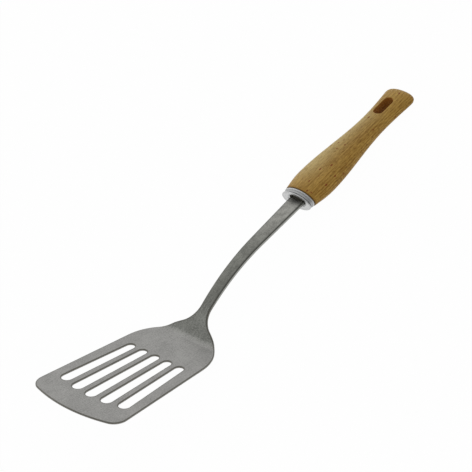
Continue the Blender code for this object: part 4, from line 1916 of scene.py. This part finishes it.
@dataclass(frozen=True)
class Studio:
    """Camera, pale floor, a room that is lighter towards its window, and two softboxes."""

    camera_at: Place = (1.04065, -0.62900, 1.14308)
    camera_turn: Place = (44.62044, 18.61318, 41.03454)
    lens: float = 190.678
    sensor: float = 36.0
    nearest: float = 0.05
    farthest: float = 50.0
    floor_size: float = 6.0
    floor_squares: int = 4
    floor_drop: float = 0.1 * MM
    floor_colour: Colour = (0.9, 0.9, 0.9)
    floor_roughness: float = 0.9
    floor_glow: float = 0.98
    glow_colour: Colour = (1.0, 1.0, 1.0)
    window: Place = (-0.58, 0.68, 0.45)
    window_light: float = 0.58
    window_edge: float = 0.45
    room_light: float = 0.42
    softboxes: tuple[Softbox, ...] = (
        Softbox("front_softbox", at=(0.72, -0.72, 1.28), width=1.2, height=1.2, power=3.0),
        Softbox("left_softbox", at=(-1.5, -0.35, 0.4), width=2.0, height=1.4, power=6.0),
    )

    def camera(self) -> None:
        """Places the camera where the photograph was taken from."""
        data = bpy.data.cameras.new("camera")
        data.sensor_width = self.sensor
        data.lens = self.lens
        data.clip_start = self.nearest
        data.clip_end = self.farthest
        camera = bpy.data.objects.new("camera", data)
        camera.location = self.camera_at
        camera.rotation_euler = Euler([math.radians(a) for a in self.camera_turn])
        bpy.context.scene.collection.objects.link(camera)
        bpy.context.scene.camera = camera

    def floor(self) -> None:
        """Lays the floor, which shows white to the camera and keeps the turner's soft shadow."""
        squares = self.floor_squares
        bm = bmesh.new()
        bmesh.ops.create_grid(
            bm, x_segments=squares, y_segments=squares, size=self.floor_size / 2.0
        )
        obj = place_mesh("studio_floor")
        bm.to_mesh(obj.data)
        bm.free()
        obj.data.transform(Matrix.Translation((0.0, 0.0, -self.floor_drop)))
        obj.data.materials.append(self.paper())
        obj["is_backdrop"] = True

    def paper(self) -> bpy.types.Material:
        """Builds the floor's material.

        Returns:
            White paper that glows for whatever sees it directly, and is lit paper to the light.
        """
        material, bench, shader = start_material("white_paper")
        shader.inputs["Base Color"].default_value = (*self.floor_colour, 1.0)
        shader.inputs["Roughness"].default_value = self.floor_roughness
        shader.inputs["Specular IOR Level"].default_value = 0.0
        seen = self.seen_directly(bench) * self.floor_glow
        glow = bench.add("ShaderNodeEmission", {"Color": (*self.glow_colour, 1.0), "Strength": 1.0})
        blend = bench.add("ShaderNodeMixShader", {0: seen, 1: shader.outputs[0], 2: glow.outputs[0]})
        output = next(n for n in material.node_tree.nodes if n.type == "OUTPUT_MATERIAL")
        bench.feed(output.inputs["Surface"], blend.outputs[0])
        return material

    def seen_directly(self, bench: Bench) -> Figure:
        """Tells rays that see the floor from the light's own rays.

        Args:
            bench: The bench of the floor's material.

        Returns:
            1 for rays from the camera, a mirror or glass, and 0 for all others.
        """
        rays = bench.add("ShaderNodeLightPath")
        kinds = ("Is Camera Ray", "Is Glossy Ray", "Is Transmission Ray")
        camera, glossy, through = [Figure(bench, rays.outputs[kind]) for kind in kinds]
        return camera.most(glossy).most(through)

    def world(self) -> None:
        """Sets the even light of the room, white where the camera sees past the floor."""
        world = bpy.data.worlds.new("studio_room")
        bpy.context.scene.world = world
        world.use_nodes = True
        bench = Bench(world.node_tree)
        output = bench.add("ShaderNodeOutputWorld")
        rays = bench.add("ShaderNodeLightPath")
        seen = Figure(bench, rays.outputs["Is Camera Ray"])
        x, y, z = bench.parts(bench.add("ShaderNodeTexCoord").outputs["Generated"])
        window = Vector(self.window).normalized()
        facing = x * window.x + y * window.y + z * window.z
        light = bench.ramp(facing, self.window_edge, 1.0) * self.window_light + self.room_light
        strength = seen + (1.0 - seen) * light
        room = bench.add(
            "ShaderNodeBackground", {"Color": (*self.glow_colour, 1.0), "Strength": strength}
        )
        bench.feed(output.inputs["Surface"], room.outputs[0])

    def build(self) -> None:
        """Sets up the camera, the floor and the light."""
        self.camera()
        self.floor()
        self.world()
        for softbox in self.softboxes:
            softbox.hang()
        bpy.context.scene.view_settings.view_transform = "Standard"


@dataclass(frozen=True)
class Dressed:
    """One finished piece and what it stands for."""

    piece: bpy.types.Object
    node: str
    slot: str

    def report(self) -> None:
        """Puts the piece on its body in place of its solid, and logs how far their boxes differ."""
        low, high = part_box(self.node)
        points = points_of(self.piece)
        apart = max(
            float(np.abs(points.min(0) - np.array(low)).max()),
            float(np.abs(points.max(0) - np.array(high)).max()),
        )
        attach(self.piece, "root")
        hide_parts(self.node)
        self.piece.data.calc_loop_triangles()
        LOG.info(
            "%s: %d triangles, its box is within %.3f mm of the solid's",
            self.piece.name,
            len(self.piece.data.loop_triangles),
            apart / MM,
        )


def corners(box: Sequence[Vector]) -> list[list[float]]:
    """Returns a box's two corners as plain lists of numbers."""
    return [[float(v) for v in corner] for corner in box]


def main() -> None:
    """Builds the studio and the turner's pieces in order, and reports each piece."""
    logging.basicConfig(level=logging.INFO, format="%(name)s: %(message)s", force=True)
    for obj in list(bpy.data.objects):
        bpy.data.objects.remove(obj, do_unlink=True)
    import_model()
    solid_box = corners(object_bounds())

    Studio().build()
    pose = RestPose().matrix()
    path = SheetPath()
    ferrule = OvalFerrule()
    handle = BeechHandle(ferrule, path)
    frame = pose @ path.handle_frame(handle.rise)
    dressed = [
        Dressed(TurnerBlade(path).build(pose), "turner_blade", "brushed_steel"),
        Dressed(ferrule.build(frame), "ferrule", "ferrule_metal"),
        Dressed(handle.build(frame), "handle", "beech"),
    ]
    for piece in dressed:
        piece.report()
    {"cad": solid_box, "visual": corners(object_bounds())}


if __name__ == "__main__":
    main()
